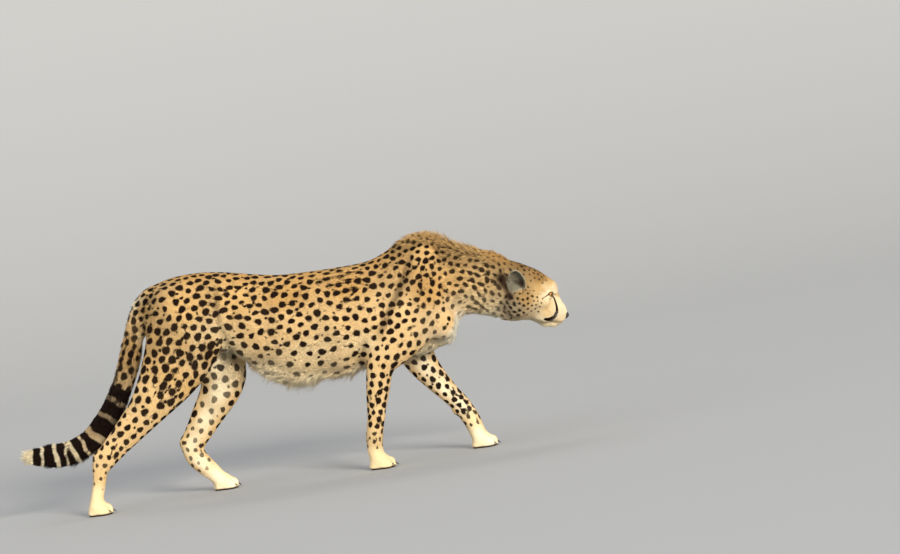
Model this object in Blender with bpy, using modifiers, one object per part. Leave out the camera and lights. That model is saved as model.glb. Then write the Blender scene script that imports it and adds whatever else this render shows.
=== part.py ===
"""A life-size cheetah, stalking on a level floor, as a still museum model.

The body is shaped whole and then parted by thin cuts into head, neck, trunk, tail, legs and paws.
+X runs towards the nose, +Y to the animal's left and +Z up.  The floor is z = 0.

Sizes are given where a taxidermist would take them: stations along the trunk, the head, the tail and
each limb, with the thickness of the body at each one, out to the tips of the coat.
"""

import math

import bmesh
import bpy
import numpy as np
from mathutils import Matrix, Vector

# ---------------------------------------------------------------- driving sizes, in metres

WITHERS = 0.655  # height of the shoulder blades over the floor
CREST = 0.670  # and of the ruffled mane that stands between them
RUMP = 0.660  # and of the top of the rump
NOSE_TIP = Vector((0.8275, 0.050, 0.353))
HEAD_PITCH = math.radians(37.4)  # the nose points down
HEAD_YAW = math.radians(15.0)  # and a little to the animal's left
EYE_RADIUS = 0.0160
EYE_PLACE = (-0.0900, 0.0330, 0.0180)  # in the head's own frame, on its left side
NOSE_PAD = (0.0100, 0.0170, 0.0105)  # half length, half width and half height of the bare nose
NOSE_PLACE = (-0.0035, 0.0, -0.0070)  # its middle, in the head's own frame
FORE_TRACK = 0.067  # how far each paw stands from the midline
HIND_TRACK = 0.078
RIGHT, LEFT = -1, 1

# ---------------------------------------------------------------- how the solids are made

RING_SIDES = 28
TAIL_SIDES = 14
WIDEST_TRUNK = 0.50  # how far up a ring of the trunk or head its greatest width lies
WIDEST_HEAD = 0.45
BODY_VOXEL = 0.0045
HEAD_VOXEL = 0.0030
BODY_SMOOTHING = 18  # rounds of smoothing over the whole body
MUSCLE_SMOOTHING = 70  # more rounds, above the knees, that blend the muscles together
KNEES = 0.30
MUSCLE_FADE = 0.08
HEAD_SMOOTHING = 22
BODY_FACES = 4100  # triangles kept in the body and in the head, before they are parted
HEAD_FACES = 1500
PAW_HEIGHT = 0.06  # the paws, up to here, keep more of their faces than the rest
PAW_WEIGHT = 0.4
DETAIL_KEPT = 0.003
SHARP = math.radians(50)
CUT = 0.0008  # width of the thin cuts that part the body
GAP = 0.0004  # clearance round an eye, an ear or the nose
TAIL_STUB = 3  # station at which the free tail leaves the rump
TAIL_ROOM = 0.0030  # how far the thighs keep clear of the free tail
HEAD_NECK = 10  # first station of the trunk's table that belongs to the neck behind the head

FUR_GOLD = (0.62, 0.40, 0.17, 1.0)
FUR_DARK = (0.06, 0.045, 0.035, 1.0)
NOSE_BLACK = (0.012, 0.011, 0.011, 1.0)
EYE_AMBER = (0.45, 0.22, 0.04, 1.0)

# ---------------------------------------------------------------- stations

# (x, top, bottom, half width) from the root of the tail to behind the jaw
TRUNK = (
    (-0.402, 0.600, 0.500, 0.030),
    (-0.370, 0.639, 0.455, 0.062),
    (-0.310, RUMP - 0.002, 0.430, 0.084),
    (-0.230, RUMP, 0.420, 0.086),
    (-0.150, 0.649, 0.380, 0.076),
    (-0.070, 0.630, 0.302, 0.083),
    (0.010, 0.615, 0.274, 0.096),
    (0.100, 0.610, 0.279, 0.106),
    (0.190, 0.608, 0.285, 0.108),
    (0.280, 0.614, 0.290, 0.100),
    (0.360, 0.648, 0.298, 0.085),
    (0.430, CREST, 0.312, 0.072),
    (0.485, 0.656, 0.350, 0.068),
    (0.530, 0.621, 0.400, 0.068),
    (0.590, 0.597, 0.385, 0.066),
    (0.650, 0.575, 0.361, 0.065),
    (0.700, 0.528, 0.360, 0.055),
)

# (back from the nose tip, top, bottom, half width) in the head's own frame
SKULL = (
    (0.003, 0.005, -0.014, 0.014),
    (-0.010, 0.012, -0.030, 0.021),
    (-0.022, 0.020, -0.050, 0.026),
    (-0.040, 0.032, -0.069, 0.025),
    (-0.056, 0.047, -0.072, 0.025),
    (-0.072, 0.060, -0.071, 0.031),
    (-0.090, 0.068, -0.072, 0.046),
    (-0.112, 0.072, -0.081, 0.062),
    (-0.140, 0.074, -0.100, 0.067),
    (-0.170, 0.072, -0.106, 0.068),
    (-0.200, 0.068, -0.103, 0.064),
    (-0.230, 0.062, -0.092, 0.056),
)

# (x, z, half thickness in the walking plane, distance from the midline, half width)
FORE_RIGHT = (
    (0.438, 0.450, 0.052, 0.066, 0.032),
    (0.375, 0.392, 0.062, 0.073, 0.037),
    (0.300, 0.345, 0.060, 0.078, 0.037),
    (0.258, 0.300, 0.046, 0.080, 0.035),
    (0.241, 0.240, 0.039, 0.079, 0.031),
    (0.230, 0.197, 0.034, 0.076, 0.028),
    (0.221, 0.154, 0.029, 0.073, 0.026),
    (0.210, 0.111, 0.028, 0.070, 0.026),
    (0.202, 0.068, 0.026, 0.068, 0.028),
    (0.204, 0.030, 0.024, FORE_TRACK, 0.029),
)
FORE_LEFT = (
    (0.440, 0.450, 0.050, 0.066, 0.032),
    (0.404, 0.385, 0.060, 0.073, 0.037),
    (0.366, 0.325, 0.058, 0.078, 0.038),
    (0.377, 0.280, 0.051, 0.080, 0.035),
    (0.404, 0.233, 0.043, 0.079, 0.031),
    (0.440, 0.180, 0.034, 0.075, 0.028),
    (0.474, 0.133, 0.031, 0.071, 0.026),
    (0.497, 0.085, 0.029, 0.068, 0.027),
    (0.511, 0.034, 0.025, FORE_TRACK, 0.029),
)
HIND_RIGHT = (
    (-0.300, 0.560, 0.085, 0.050, 0.038),
    (-0.300, 0.480, 0.116, 0.060, 0.047),
    (-0.325, 0.425, 0.110, 0.068, 0.050),
    (-0.363, 0.372, 0.094, 0.074, 0.048),
    (-0.407, 0.322, 0.074, 0.079, 0.043),
    (-0.450, 0.278, 0.058, 0.081, 0.037),
    (-0.503, 0.232, 0.047, 0.081, 0.031),
    (-0.553, 0.189, 0.039, 0.080, 0.026),
    (-0.590, 0.156, 0.034, HIND_TRACK, 0.023),
)
HIND_FOOT_RIGHT = (
    (-0.600, 0.172, 0.025, HIND_TRACK, 0.020),
    (-0.605, 0.135, 0.026, HIND_TRACK, 0.023),
    (-0.613, 0.098, 0.022, HIND_TRACK, 0.022),
    (-0.627, 0.055, 0.021, HIND_TRACK, 0.023),
    (-0.636, 0.026, 0.021, HIND_TRACK, 0.027),
)
HIND_LEFT = (
    (-0.300, 0.560, 0.085, 0.050, 0.038),
    (-0.268, 0.480, 0.112, 0.060, 0.047),
    (-0.238, 0.415, 0.102, 0.068, 0.050),
    (-0.214, 0.355, 0.086, 0.074, 0.048),
    (-0.220, 0.305, 0.068, 0.079, 0.043),
    (-0.246, 0.265, 0.058, 0.081, 0.037),
    (-0.276, 0.227, 0.051, 0.081, 0.031),
    (-0.312, 0.178, 0.043, 0.080, 0.026),
    (-0.336, 0.150, 0.038, HIND_TRACK, 0.024),
)
HIND_FOOT_LEFT = (
    (-0.350, 0.156, 0.026, HIND_TRACK, 0.022),
    (-0.330, 0.112, 0.034, HIND_TRACK, 0.025),
    (-0.305, 0.077, 0.031, HIND_TRACK, 0.025),
    (-0.281, 0.049, 0.027, HIND_TRACK, 0.025),
    (-0.266, 0.028, 0.023, HIND_TRACK, 0.027),
)

# (x, z, half thickness, distance from the midline, half width)
TAIL = (
    (-0.345, 0.612, 0.036, 0.000, 0.036),
    (-0.385, 0.597, 0.040, 0.000, 0.038),
    (-0.426, 0.545, 0.037, 0.002, 0.035),
    (-0.456, 0.475, 0.035, 0.006, 0.034),
    (-0.483, 0.404, 0.035, 0.010, 0.034),
    (-0.520, 0.335, 0.036, 0.014, 0.034),
    (-0.565, 0.273, 0.037, 0.016, 0.035),
    (-0.618, 0.219, 0.039, 0.016, 0.037),
    (-0.688, 0.190, 0.041, 0.014, 0.039),
    (-0.755, 0.189, 0.038, 0.010, 0.037),
    (-0.805, 0.195, 0.027, 0.006, 0.027),
    (-0.829, 0.198, 0.015, 0.004, 0.015),
)

# (place across the paw in toe widths, how far ahead of its ball, height)
TOES = ((-1.5, 0.022, 0.019), (-0.5, 0.034, 0.021), (0.5, 0.034, 0.021), (1.5, 0.022, 0.019))
TOE_SPACING = 0.0165
TOE_LENGTH, TOE_WIDTH = 0.0225, 0.0112  # half sizes
HIND_PAW = 0.95  # size of a hind paw against a fore paw

# ---------------------------------------------------------------- ears, in the head's own frame

EAR_SIZE = (0.0260, 0.0430, 0.0210)  # half width, half height and depth of the cup
EAR_PLACE = (-0.199, 0.076, 0.000)
EAR_TURN = (math.radians(-48), math.radians(-22), math.radians(5))  # back, outwards, twist
EAR_WALL = 0.0045
EAR_RIM = 0.0040  # how far the cup reaches out past its widest section

# ---------------------------------------------------------------- where the body is parted

HEAD_JOINT = (0.648, 0, 0.465)
NECK_JOINT = (0.534, 0, 0.500)
NECK_TILT = math.radians(8)
ELBOW_CUT = (0.325, 0, 0.279)
HIP_CUT = (-0.285, 0, 0.4055)
HIP_TILT = math.radians(14)
FOOT_CUTS = (  # centre, length of the cut along the animal, tilt
    ((0.207, -0.070, 0.095), 0.085, 0.0),
    ((0.493, 0.070, 0.093), 0.085, math.radians(-25)),
    ((-0.610, -0.078, 0.108), 0.100, math.radians(-12)),
    ((-0.327, 0.078, 0.109), 0.125, math.radians(-21)),
)
TAIL_CUTS = (((-0.565, 0.016, 0.273), math.radians(132)), ((-0.700, 0.013, 0.190), math.radians(170)))

LABELS = {  # a point near the surface of each piece of the body
    "trunk": (0.10, 0.10, 0.45),
    "neck": (0.59, 0, 0.585),
    "fore_leg_right": (0.236, -0.105, 0.200),
    "fore_leg_left": (0.440, 0.105, 0.180),
    "fore_paw_right": (0.24, -0.067, 0.010),
    "fore_paw_left": (0.54, 0.067, 0.010),
    "hind_leg_right": (-0.45, -0.115, 0.280),
    "hind_leg_left": (-0.25, 0.115, 0.280),
    "hind_foot_right": (-0.62, -0.09, 0.050),
    "hind_foot_left": (-0.28, 0.09, 0.040),
}
TAIL_LABELS = {
    "tail_upper": (-0.483, 0.0, 0.404),
    "tail_middle": (-0.618, 0.0, 0.219),
    "tail_tip": (-0.780, 0.0, 0.192),
}


def ear_label(side):
    """The middle of one ear."""
    back, out, up = EAR_PLACE
    return head_place() @ Vector((back, side * out, up))


# ---------------------------------------------------------------- modelling helpers


def smooth_rows(rows, per_span=5):
    """Rows between the given ones, on a Catmull-Rom curve through them."""
    rows = np.asarray(rows, float)
    ends = np.vstack([2 * rows[0] - rows[1], rows, 2 * rows[-1] - rows[-2]])
    found = []
    for i in range(1, len(ends) - 2):
        a, b, c, d = ends[i - 1 : i + 3]
        for t in np.arange(per_span) / per_span:
            linear = (c - a) * t
            square = (2 * a - 5 * b + 4 * c - d) * t**2
            cube = (3 * b - a - 3 * c + d) * t**3
            found.append(0.5 * (2 * b + linear + square + cube))
    return np.array([*found, rows[-1]])


def mesh_object(name, bm, collection):
    """Turns a bmesh of closed shapes into an object whose faces point outwards."""
    mesh = bpy.data.meshes.new(name)
    bmesh.ops.recalc_face_normals(bm, faces=bm.faces)
    bm.to_mesh(mesh)
    bm.free()
    made = bpy.data.objects.new(name, mesh)
    collection.objects.link(made)
    return made


def loft(bm, rings):
    """A closed skin over rings of equal count, each a list of points, with a flat face at both ends."""
    rows = [[bm.verts.new(p) for p in ring] for ring in rings]
    for near, far in zip(rows[:-1], rows[1:]):
        for i in range(len(near)):
            j = (i + 1) % len(near)
            bm.faces.new((near[i], near[j], far[j], far[i]))
    bm.faces.new(rows[0][::-1])
    bm.faces.new(rows[-1])


def oval(centre, across, up, half_width, above, below, sides=RING_SIDES):
    """A ring half_width wide each side of centre, with one radius above it and another below."""
    turn = np.linspace(0, 2 * math.pi, sides, endpoint=False)
    lift = np.where(np.sin(turn) > 0, above, below) * np.sin(turn)
    return centre + np.outer(np.cos(turn) * half_width, across) + np.outer(lift, up)


def hull(bm, stations, place, widest):
    """A body whose rings stand square to one axis, at stations (along, top, bottom, half width).

    place turns a point of the axis' own frame into the world, and widest is how far up each ring its
    greatest width lies.
    """
    rings = []
    for along, top, bottom, half_width in smooth_rows(stations):
        middle = bottom + widest * (top - bottom)
        ring = oval(
            np.array([along, 0, middle]),
            np.array([0, 1.0, 0]),
            np.array([0, 0, 1.0]),
            half_width,
            top - middle,
            middle - bottom,
        )
        rings.append([place @ Vector(p) for p in ring])
    loft(bm, rings)


def limb(bm, stations, side=LEFT, grow=0.0, rounded=True, per_span=5, ring_sides=RING_SIDES):
    """A limb or tail along a bent path, at stations (x, z, half thickness, distance out, half width)."""
    rows = smooth_rows(stations, per_span)
    path = np.column_stack([rows[:, 0], side * rows[:, 3], rows[:, 1]])
    along = np.gradient(path, axis=0)
    along /= np.linalg.norm(along, axis=1, keepdims=True)
    rings = []
    for point, way, thick, wide in zip(path, along, rows[:, 2] + grow, rows[:, 4] + grow):
        across = np.cross(way, np.cross([0, 1.0, 0], way))
        across /= np.linalg.norm(across)
        ring = oval(point, across, np.cross(across, way), wide, thick, thick, ring_sides)
        rings.append([Vector(p) for p in ring])
    loft(bm, rings)
    if rounded:
        for end in (0, -1):
            lump(bm, path[end], (rows[end, 2], rows[end, 4], rows[end, 2]))


def lump(bm, centre, radii, tilt=0.0, turn=0.0, place=None, sides=20):
    """A muscle, pad or bone end: an ellipsoid pitched nose-down by tilt and turned to the left by turn."""
    frame = (
        Matrix.Translation(Vector(centre))
        @ Matrix.Rotation(turn, 4, "Z")
        @ Matrix.Rotation(tilt, 4, "Y")
        @ Matrix.Diagonal((*radii, 1.0))
    )
    at = (place or Matrix()) @ frame
    bmesh.ops.create_uvsphere(bm, u_segments=sides, v_segments=sides * 3 // 5, radius=1.0, matrix=at)


def head_place():
    """The head's own frame: origin at the nose tip, +X to the nose, +Y to the left and +Z up."""
    turn = Matrix.Rotation(HEAD_YAW, 4, "Z") @ Matrix.Rotation(HEAD_PITCH, 4, "Y")
    return Matrix.Translation(NOSE_TIP) @ turn


def settle(obj):
    """Replaces an object's mesh by what its modifiers make of it."""
    graph = bpy.context.evaluated_depsgraph_get()
    made = bpy.data.meshes.new_from_object(obj.evaluated_get(graph))
    obj.modifiers.clear()
    obj.data = made
    return obj


def fuse(obj, voxel, smoothing):
    """Melts overlapping closed shapes into one skin and softens the creases between them."""
    remesh = obj.modifiers.new("one skin", "REMESH")
    remesh.mode = "VOXEL"
    remesh.voxel_size = voxel
    settle(obj)
    return soften(obj, smoothing)


def soften(obj, rounds, weight=None):
    """Smooths a mesh, everywhere or as much as weight(point) says."""
    step = obj.modifiers.new("soften", "SMOOTH")
    step.factor = 0.5
    step.iterations = rounds
    if weight:
        group = obj.vertex_groups.new(name="soft")
        for vertex in obj.data.vertices:
            group.add([vertex.index], weight(vertex.co), "REPLACE")
        step.vertex_group = "soft"
    return settle(obj)


def cut(obj, cutter):
    """Takes a cutter's space out of a solid."""
    step = obj.modifiers.new("cut", "BOOLEAN")
    step.operation = "DIFFERENCE"
    step.object = cutter
    settle(obj)
    cutter.hide_render = True
    cutter.display_type = "WIRE"
    return obj


def fewer_faces(obj, faces, plain=None):
    """Brings a mesh down to about so many triangles, most where it is curved and least plain(point)."""
    obj.data.calc_loop_triangles()
    step = obj.modifiers.new("fewer faces", "DECIMATE")
    step.ratio = min(1.0, faces / len(obj.data.loop_triangles))
    if plain:
        group = obj.vertex_groups.new(name="plain")
        for vertex in obj.data.vertices:
            group.add([vertex.index], plain(vertex.co), "REPLACE")
        step.vertex_group = "plain"
        step.vertex_group_factor = DETAIL_KEPT
    return settle(obj)


# ---------------------------------------------------------------- the body


def trunk_and_neck(bm):
    """Rump, loin, rib cage, shoulders and neck, from the tail's root to behind the jaw."""
    hull(bm, TRUNK, Matrix(), WIDEST_TRUNK)
    lump(bm, (0.450, 0, 0.372), (0.052, 0.050, 0.054))  # breast
    for side in (RIGHT, LEFT):
        lump(bm, (0.440, side * 0.034, WITHERS - 0.055), (0.066, 0.026, 0.052), 0.15)  # top of the blade
        lump(bm, (0.428, side * 0.058, 0.515), (0.074, 0.034, 0.120), 0.12)  # shoulder blade muscles
        lump(bm, (0.505, side * 0.040, 0.490), (0.080, 0.034, 0.085), 0.3)  # root of the neck
        lump(bm, (0.452, side * 0.062, 0.400), (0.050, 0.036, 0.062), -0.3)  # point of the shoulder
        lump(bm, (0.350, side * 0.078, 0.410), (0.085, 0.034, 0.050), 0.45)  # triceps
        lump(bm, (-0.310, side * 0.046, 0.575), (0.080, 0.044, 0.066), 0.1)  # hip
        lump(bm, (-0.385, side * 0.036, 0.520), (0.030, 0.034, 0.060))  # seat bone


def paw(bm, x, y, size=1.0):
    """Pads and four toes that stand on the floor in front of the ball of the foot at (x, y)."""
    lump(bm, (x + 0.006 * size, y, 0.024), (0.031 * size, 0.031 * size, 0.029))
    lump(bm, (x - 0.004, y, 0.011), (0.026 * size, 0.026 * size, 0.017))
    for place, forward, height in TOES:
        spot = (x + forward * size, y + place * TOE_SPACING * size, height - 0.006)
        lump(bm, spot, (TOE_LENGTH * size, TOE_WIDTH * size, height), turn=place * 0.12)


def body_clay(collection):
    """Trunk, neck and limbs as one skin, before it is parted."""
    bm = bmesh.new()
    trunk_and_neck(bm)
    limb(bm, TAIL[: TAIL_STUB + 2])
    for side, fore, hind, foot in (
        (RIGHT, FORE_RIGHT, HIND_RIGHT, HIND_FOOT_RIGHT),
        (LEFT, FORE_LEFT, HIND_LEFT, HIND_FOOT_LEFT),
    ):
        for stations in (fore, hind, foot):
            limb(bm, stations, side)
        paw(bm, fore[-1][0], side * FORE_TRACK)
        paw(bm, foot[-1][0], side * HIND_TRACK, HIND_PAW)
        wrist = fore[-3]
        lump(bm, (wrist[0] - 0.024, side * 0.070, wrist[1] - 0.016), (0.010, 0.010, 0.013))  # wrist pad
    body = fuse(mesh_object("body", bm, collection), BODY_VOXEL, BODY_SMOOTHING)
    return soften(body, MUSCLE_SMOOTHING, lambda p: min(1.0, max(0.0, (p.z - KNEES) / MUSCLE_FADE)))


def tail_solid(collection):
    """The free tail, out to the tips of its hair."""
    bm = bmesh.new()
    limb(bm, TAIL[TAIL_STUB:], rounded=False, per_span=3, ring_sides=TAIL_SIDES)
    return mesh_object("tail", bm, collection)


def tail_room(collection):
    """The space that the free tail takes, with some room round it, so that the thighs stay clear."""
    bm = bmesh.new()
    limb(bm, TAIL[TAIL_STUB:], grow=TAIL_ROOM, rounded=False)
    root, after = TAIL[TAIL_STUB : TAIL_STUB + 2]
    away = Vector((after[0] - root[0], after[3] - root[3], after[1] - root[1])).normalized()
    bmesh.ops.translate(bm, verts=bm.verts, vec=away * -CUT)
    return mesh_object("tail_room", bm, collection)


# ---------------------------------------------------------------- the head


def head_shapes(bm):
    """Skull, muzzle, jaw and cheeks, in the head's own frame."""
    place = head_place()
    hull(bm, SKULL, place, WIDEST_HEAD)
    for side in (RIGHT, LEFT):
        lump(bm, (-0.028, side * 0.016, -0.022), (0.029, 0.020, 0.022), 0.3, place=place)  # whisker pad
        lump(bm, (-0.083, side * 0.022, 0.048), (0.028, 0.026, 0.015), 0.5, place=place)  # brow
        lump(bm, (-0.115, side * 0.043, -0.008), (0.044, 0.022, 0.028), 0.2, place=place)  # cheekbone
        lump(bm, (-0.092, side * 0.031, -0.042), (0.058, 0.021, 0.024), -0.05, place=place)  # jaw
        lump(bm, (-0.165, side * 0.048, -0.046), (0.047, 0.024, 0.046), place=place)  # ruff
    lump(bm, (-0.028, 0, -0.046), (0.020, 0.019, 0.015), place=place)  # chin


def head_clay(collection):
    """Head and the neck behind it as one skin, before it is cut off at the head's joint."""
    bm = bmesh.new()
    head_shapes(bm)
    hull(bm, TRUNK[HEAD_NECK:], Matrix(), WIDEST_TRUNK)
    return fuse(mesh_object("head", bm, collection), HEAD_VOXEL, HEAD_SMOOTHING)


# ---------------------------------------------------------------- eyes, nose and ears


def eye_shape(side, radius, collection):
    """An eyeball with its centre in the socket, on its own side of the head."""
    bm = bmesh.new()
    back, out, up = EYE_PLACE
    lump(bm, (back, side * out, up), (radius, radius, radius), place=head_place(), sides=12)
    return mesh_object("eye", bm, collection)


def nose_shape(grow, collection):
    """The bare leather at the tip of the muzzle, wider at its top than at its foot."""
    bm = bmesh.new()
    long, wide, high = (size + grow for size in NOSE_PAD)
    lump(bm, NOSE_PLACE, (long, wide, high), 0.45, place=head_place(), sides=12)
    return mesh_object("nose", bm, collection)


def ear_shape(side, collection, cutters):
    """One rounded ear: an oval cup, laid back and out to the side, with its hollow facing out."""
    bm = bmesh.new()
    across, along, deep = EAR_SIZE
    cup = bmesh.ops.create_uvsphere(bm, u_segments=14, v_segments=9, radius=1.0)["verts"]
    for vertex in cup:
        vertex.co = Vector((vertex.co.x * across, vertex.co.y * deep, vertex.co.z * along))
        narrowing = 1.0 - 0.30 * max(0.0, -vertex.co.z / along)  # a little narrower at the root
        vertex.co.x *= narrowing
    back, out, up = EAR_PLACE
    lean, flare, twist = EAR_TURN
    turn = (
        Matrix.Rotation(side * flare, 4, "X")
        @ Matrix.Rotation(lean, 4, "Y")
        @ Matrix.Rotation(side * twist, 4, "Z")
    )
    place = head_place() @ Matrix.Translation((back, side * out, up)) @ turn
    bmesh.ops.transform(bm, matrix=place, verts=bm.verts)
    ear = mesh_object("ear", bm, collection)
    hollow = bmesh.new()
    inside = (across - EAR_WALL, deep - EAR_WALL, along - EAR_WALL)
    lump(hollow, (0, 0, 0), inside, place=place, sides=13)
    cut(ear, mesh_object("ear_hollow", hollow, cutters))
    opening = bmesh.new()
    slab(opening, (0, side * (EAR_RIM + deep), 0), (4 * across, 2 * deep, 4 * along))
    bmesh.ops.transform(opening, matrix=place, verts=opening.verts)
    return cut(ear, mesh_object("ear_opening", opening, cutters))


def swollen(obj, by, collection):
    """A copy of a solid, grown by a clearance, to cut its neighbour with."""
    copy = bpy.data.objects.new(obj.name + "_room", obj.data.copy())
    collection.objects.link(copy)
    grow = copy.modifiers.new("clearance", "DISPLACE")
    grow.strength = by
    grow.mid_level = 0.0
    return settle(copy)


# ---------------------------------------------------------------- parting


def slab(bm, centre, size, tilt=0.0):
    """A box of the given size, pitched nose-down by tilt."""
    frame = Matrix.Translation(Vector(centre)) @ Matrix.Rotation(tilt, 4, "Y") @ Matrix.Diagonal((*size, 1.0))
    bmesh.ops.create_cube(bm, size=1.0, matrix=frame)


def below_floor(collection):
    """Everything under z = 0, so that the paws stand on small flats."""
    bm = bmesh.new()
    slab(bm, (0, 0, -0.05), (2.4, 1.0, 0.10))
    return mesh_object("floor_level", bm, collection)


def head_side(collection, ahead):
    """All that lies ahead of the head's joint with the neck, or all that lies behind it."""
    bm = bmesh.new()
    sign = 1 if ahead else -1
    depth = 0.40
    tilt = NECK_TILT
    way = Vector((math.cos(tilt), 0, -math.sin(tilt)))
    centre = Vector(HEAD_JOINT) + way * sign * (depth / 2 - CUT / 2)
    slab(bm, centre, (depth, 0.60, 0.44), tilt)
    return mesh_object("ahead" if ahead else "behind", bm, collection)


def thin_cuts(collection):
    """Thin discs and plates that part the neck, the legs and the feet from the trunk."""
    bm = bmesh.new()
    slab(bm, NECK_JOINT, (CUT, 0.40, 0.50), NECK_TILT)
    slab(bm, ELBOW_CUT, (0.30, 0.34, CUT))
    slab(bm, HIP_CUT, (0.36, 0.34, CUT), HIP_TILT)
    for (x, y, z), size, tilt in FOOT_CUTS:
        slab(bm, (x, y, z), (size, 0.075, CUT), tilt)
    return mesh_object("thin_cuts", bm, collection)


def part_out(obj, labels, collection, finish):
    """Parts an object into its separate bodies and names each by the label point that lies nearest to it."""
    obj.name = "clay"
    bm = bmesh.new()
    bm.from_mesh(obj.data)
    bmesh.ops.triangulate(bm, faces=bm.faces)
    left = set(bm.verts)
    bodies = []
    while left:
        group, edge = set(), [left.pop()]
        while edge:
            vertex = edge.pop()
            group.add(vertex)
            for link in vertex.link_edges:
                other = link.other_vert(vertex)
                if other in left:
                    left.remove(other)
                    edge.append(other)
        bodies.append(group)
    bodies.sort(key=len, reverse=True)
    bm.verts.index_update()
    for group in bodies[: len(labels)]:
        verts = [v for v in bm.verts if v in group]
        index = {v: i for i, v in enumerate(verts)}
        faces = [[index[v] for v in f.verts] for f in bm.faces if f.verts[0] in group]
        places = [v.co.copy() for v in verts]

        def distance(name):
            return min((p - Vector(labels[name])).length for p in places)

        name = min(labels, key=distance)
        mesh = bpy.data.meshes.new(name)
        mesh.from_pydata(places, [], faces)
        made = bpy.data.objects.new(name, mesh)
        collection.objects.link(made)
        dress(made, finish)
    bm.free()
    bpy.data.objects.remove(obj)


def dress(obj, colour):
    """Gives a part its own plain material and shades it smooth."""
    material = bpy.data.materials.new(obj.name)
    material.use_nodes = True
    shader = material.node_tree.nodes["Principled BSDF"]
    shader.inputs["Base Color"].default_value = colour
    shader.inputs["Roughness"].default_value = 0.3 if colour in (NOSE_BLACK, EYE_AMBER) else 0.85
    obj.data.materials.clear()
    obj.data.materials.append(material)
    obj.data.shade_smooth()
    obj.data.set_sharp_from_angle(angle=SHARP)


def main():
    """Models the body, the head and the tail, parts them and adds eyes, nose and ears."""
    for obj in list(bpy.data.objects):
        bpy.data.objects.remove(obj)
    collection = bpy.data.collections.new("cheetah")
    cutters = bpy.data.collections.new("cutters")
    for made in (collection, cutters):
        bpy.context.scene.collection.children.link(made)

    body = body_clay(collection)
    cut(body, head_side(cutters, ahead=True))
    fewer_faces(body, BODY_FACES, lambda p: PAW_WEIGHT if p.z < PAW_HEIGHT else 1.0)
    cut(body, below_floor(cutters))
    cut(body, tail_room(cutters))
    cut(body, thin_cuts(cutters))
    part_out(body, LABELS, collection, FUR_GOLD)

    head = head_clay(collection)
    cut(head, head_side(cutters, ahead=False))
    fewer_faces(head, HEAD_FACES)
    for side, name in ((RIGHT, "right"), (LEFT, "left")):
        eye = eye_shape(side, EYE_RADIUS, collection)
        eye.name = "eye_" + name
        dress(eye, EYE_AMBER)
        cut(head, eye_shape(side, EYE_RADIUS + GAP, cutters))
    nose = nose_shape(0.0, collection)
    dress(nose, NOSE_BLACK)
    cut(head, nose_shape(GAP, cutters))
    head_room = swollen(head, GAP, cutters)
    neck_room = swollen(bpy.data.objects["neck"], 1.5 * GAP, cutters)
    for side, name in ((RIGHT, "right"), (LEFT, "left")):
        ear = ear_shape(side, collection, cutters)
        cut(ear, head_room)
        cut(ear, neck_room)
        part_out(ear, {"ear_" + name: ear_label(side)}, collection, FUR_DARK)
    part_out(head, {"head": NOSE_TIP}, collection, FUR_GOLD)

    tail = tail_solid(collection)
    bm = bmesh.new()
    for (x, y, z), tilt in TAIL_CUTS:
        slab(bm, (x, y, z), (CUT, 0.12, 0.12), tilt)
    cut(tail, mesh_object("tail_cuts", bm, cutters))
    part_out(tail, TAIL_LABELS, collection, FUR_GOLD)


main()
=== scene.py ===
"""Dresses a life-size cheetah: one skin with its markings, the coat, eyes, nose, claws and whiskers.

+X runs towards the nose, +Y to the animal's left and +Z up.  The floor is z = 0, all sizes in metres.
"""

import logging
import math
from dataclasses import dataclass, field
from enum import Enum, IntEnum

import bpy
import numpy as np
from mathutils import Matrix, Vector


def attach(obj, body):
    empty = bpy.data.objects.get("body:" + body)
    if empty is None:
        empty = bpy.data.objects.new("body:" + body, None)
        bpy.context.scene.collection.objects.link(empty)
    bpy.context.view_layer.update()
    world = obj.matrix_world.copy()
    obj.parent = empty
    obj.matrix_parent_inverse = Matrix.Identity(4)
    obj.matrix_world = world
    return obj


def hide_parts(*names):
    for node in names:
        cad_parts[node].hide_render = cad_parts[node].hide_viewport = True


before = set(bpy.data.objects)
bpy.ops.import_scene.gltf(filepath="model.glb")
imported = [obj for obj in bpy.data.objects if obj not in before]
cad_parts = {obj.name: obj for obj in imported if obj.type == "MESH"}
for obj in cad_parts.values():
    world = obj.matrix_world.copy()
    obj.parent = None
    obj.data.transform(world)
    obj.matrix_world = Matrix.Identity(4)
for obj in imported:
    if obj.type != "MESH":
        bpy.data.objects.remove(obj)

log = logging.getLogger("cheetah")
Array = np.ndarray
Triple = tuple[float, float, float]

MM = 0.001
SWELL = -0.53  # the step back that keeps a smoothed surface from shrinking
BODY = "root"
FLESH = (
    "head", "neck", "trunk", "tail_upper", "tail_middle", "tail_tip",
    "fore_leg_right", "fore_leg_left", "fore_paw_right", "fore_paw_left",
    "hind_leg_right", "hind_leg_left", "hind_foot_right", "hind_foot_left",
)  # fmt: skip


# ---- small sums on whole arrays


def unit(vectors: Array) -> Array:
    """Each vector divided by its own length."""
    return vectors / np.maximum(np.linalg.norm(vectors, axis=-1, keepdims=True), 1e-9)


def metres(millimetres: object) -> Array:
    """Sizes from a table in millimetres, as an array in metres."""
    return np.array(millimetres, float) / 1000


def norms(vectors: Array) -> Array:
    """Each vector's length."""
    return np.linalg.norm(vectors, axis=-1)


def summed(numbers: Array, rows: Array, total: int) -> Array:
    """The sum of the rows of three that go to each number from 0 to total - 1."""
    return np.column_stack([np.bincount(numbers, rows[:, axis], total) for axis in range(3)])


def ramp(value: Array, start: float, end: float) -> Array:
    """0 at start and 1 at end, easing in and out by 3t^2 - 2t^3."""
    t = np.clip((value - start) / (end - start), 0.0, 1.0)
    return t * t * (3.0 - 2.0 * t)


def bell(distance: Array, width: float) -> Array:
    """1 at no distance, falling off as exp(-(distance / width)^2)."""
    return np.exp(-np.square(distance / width))


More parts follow.
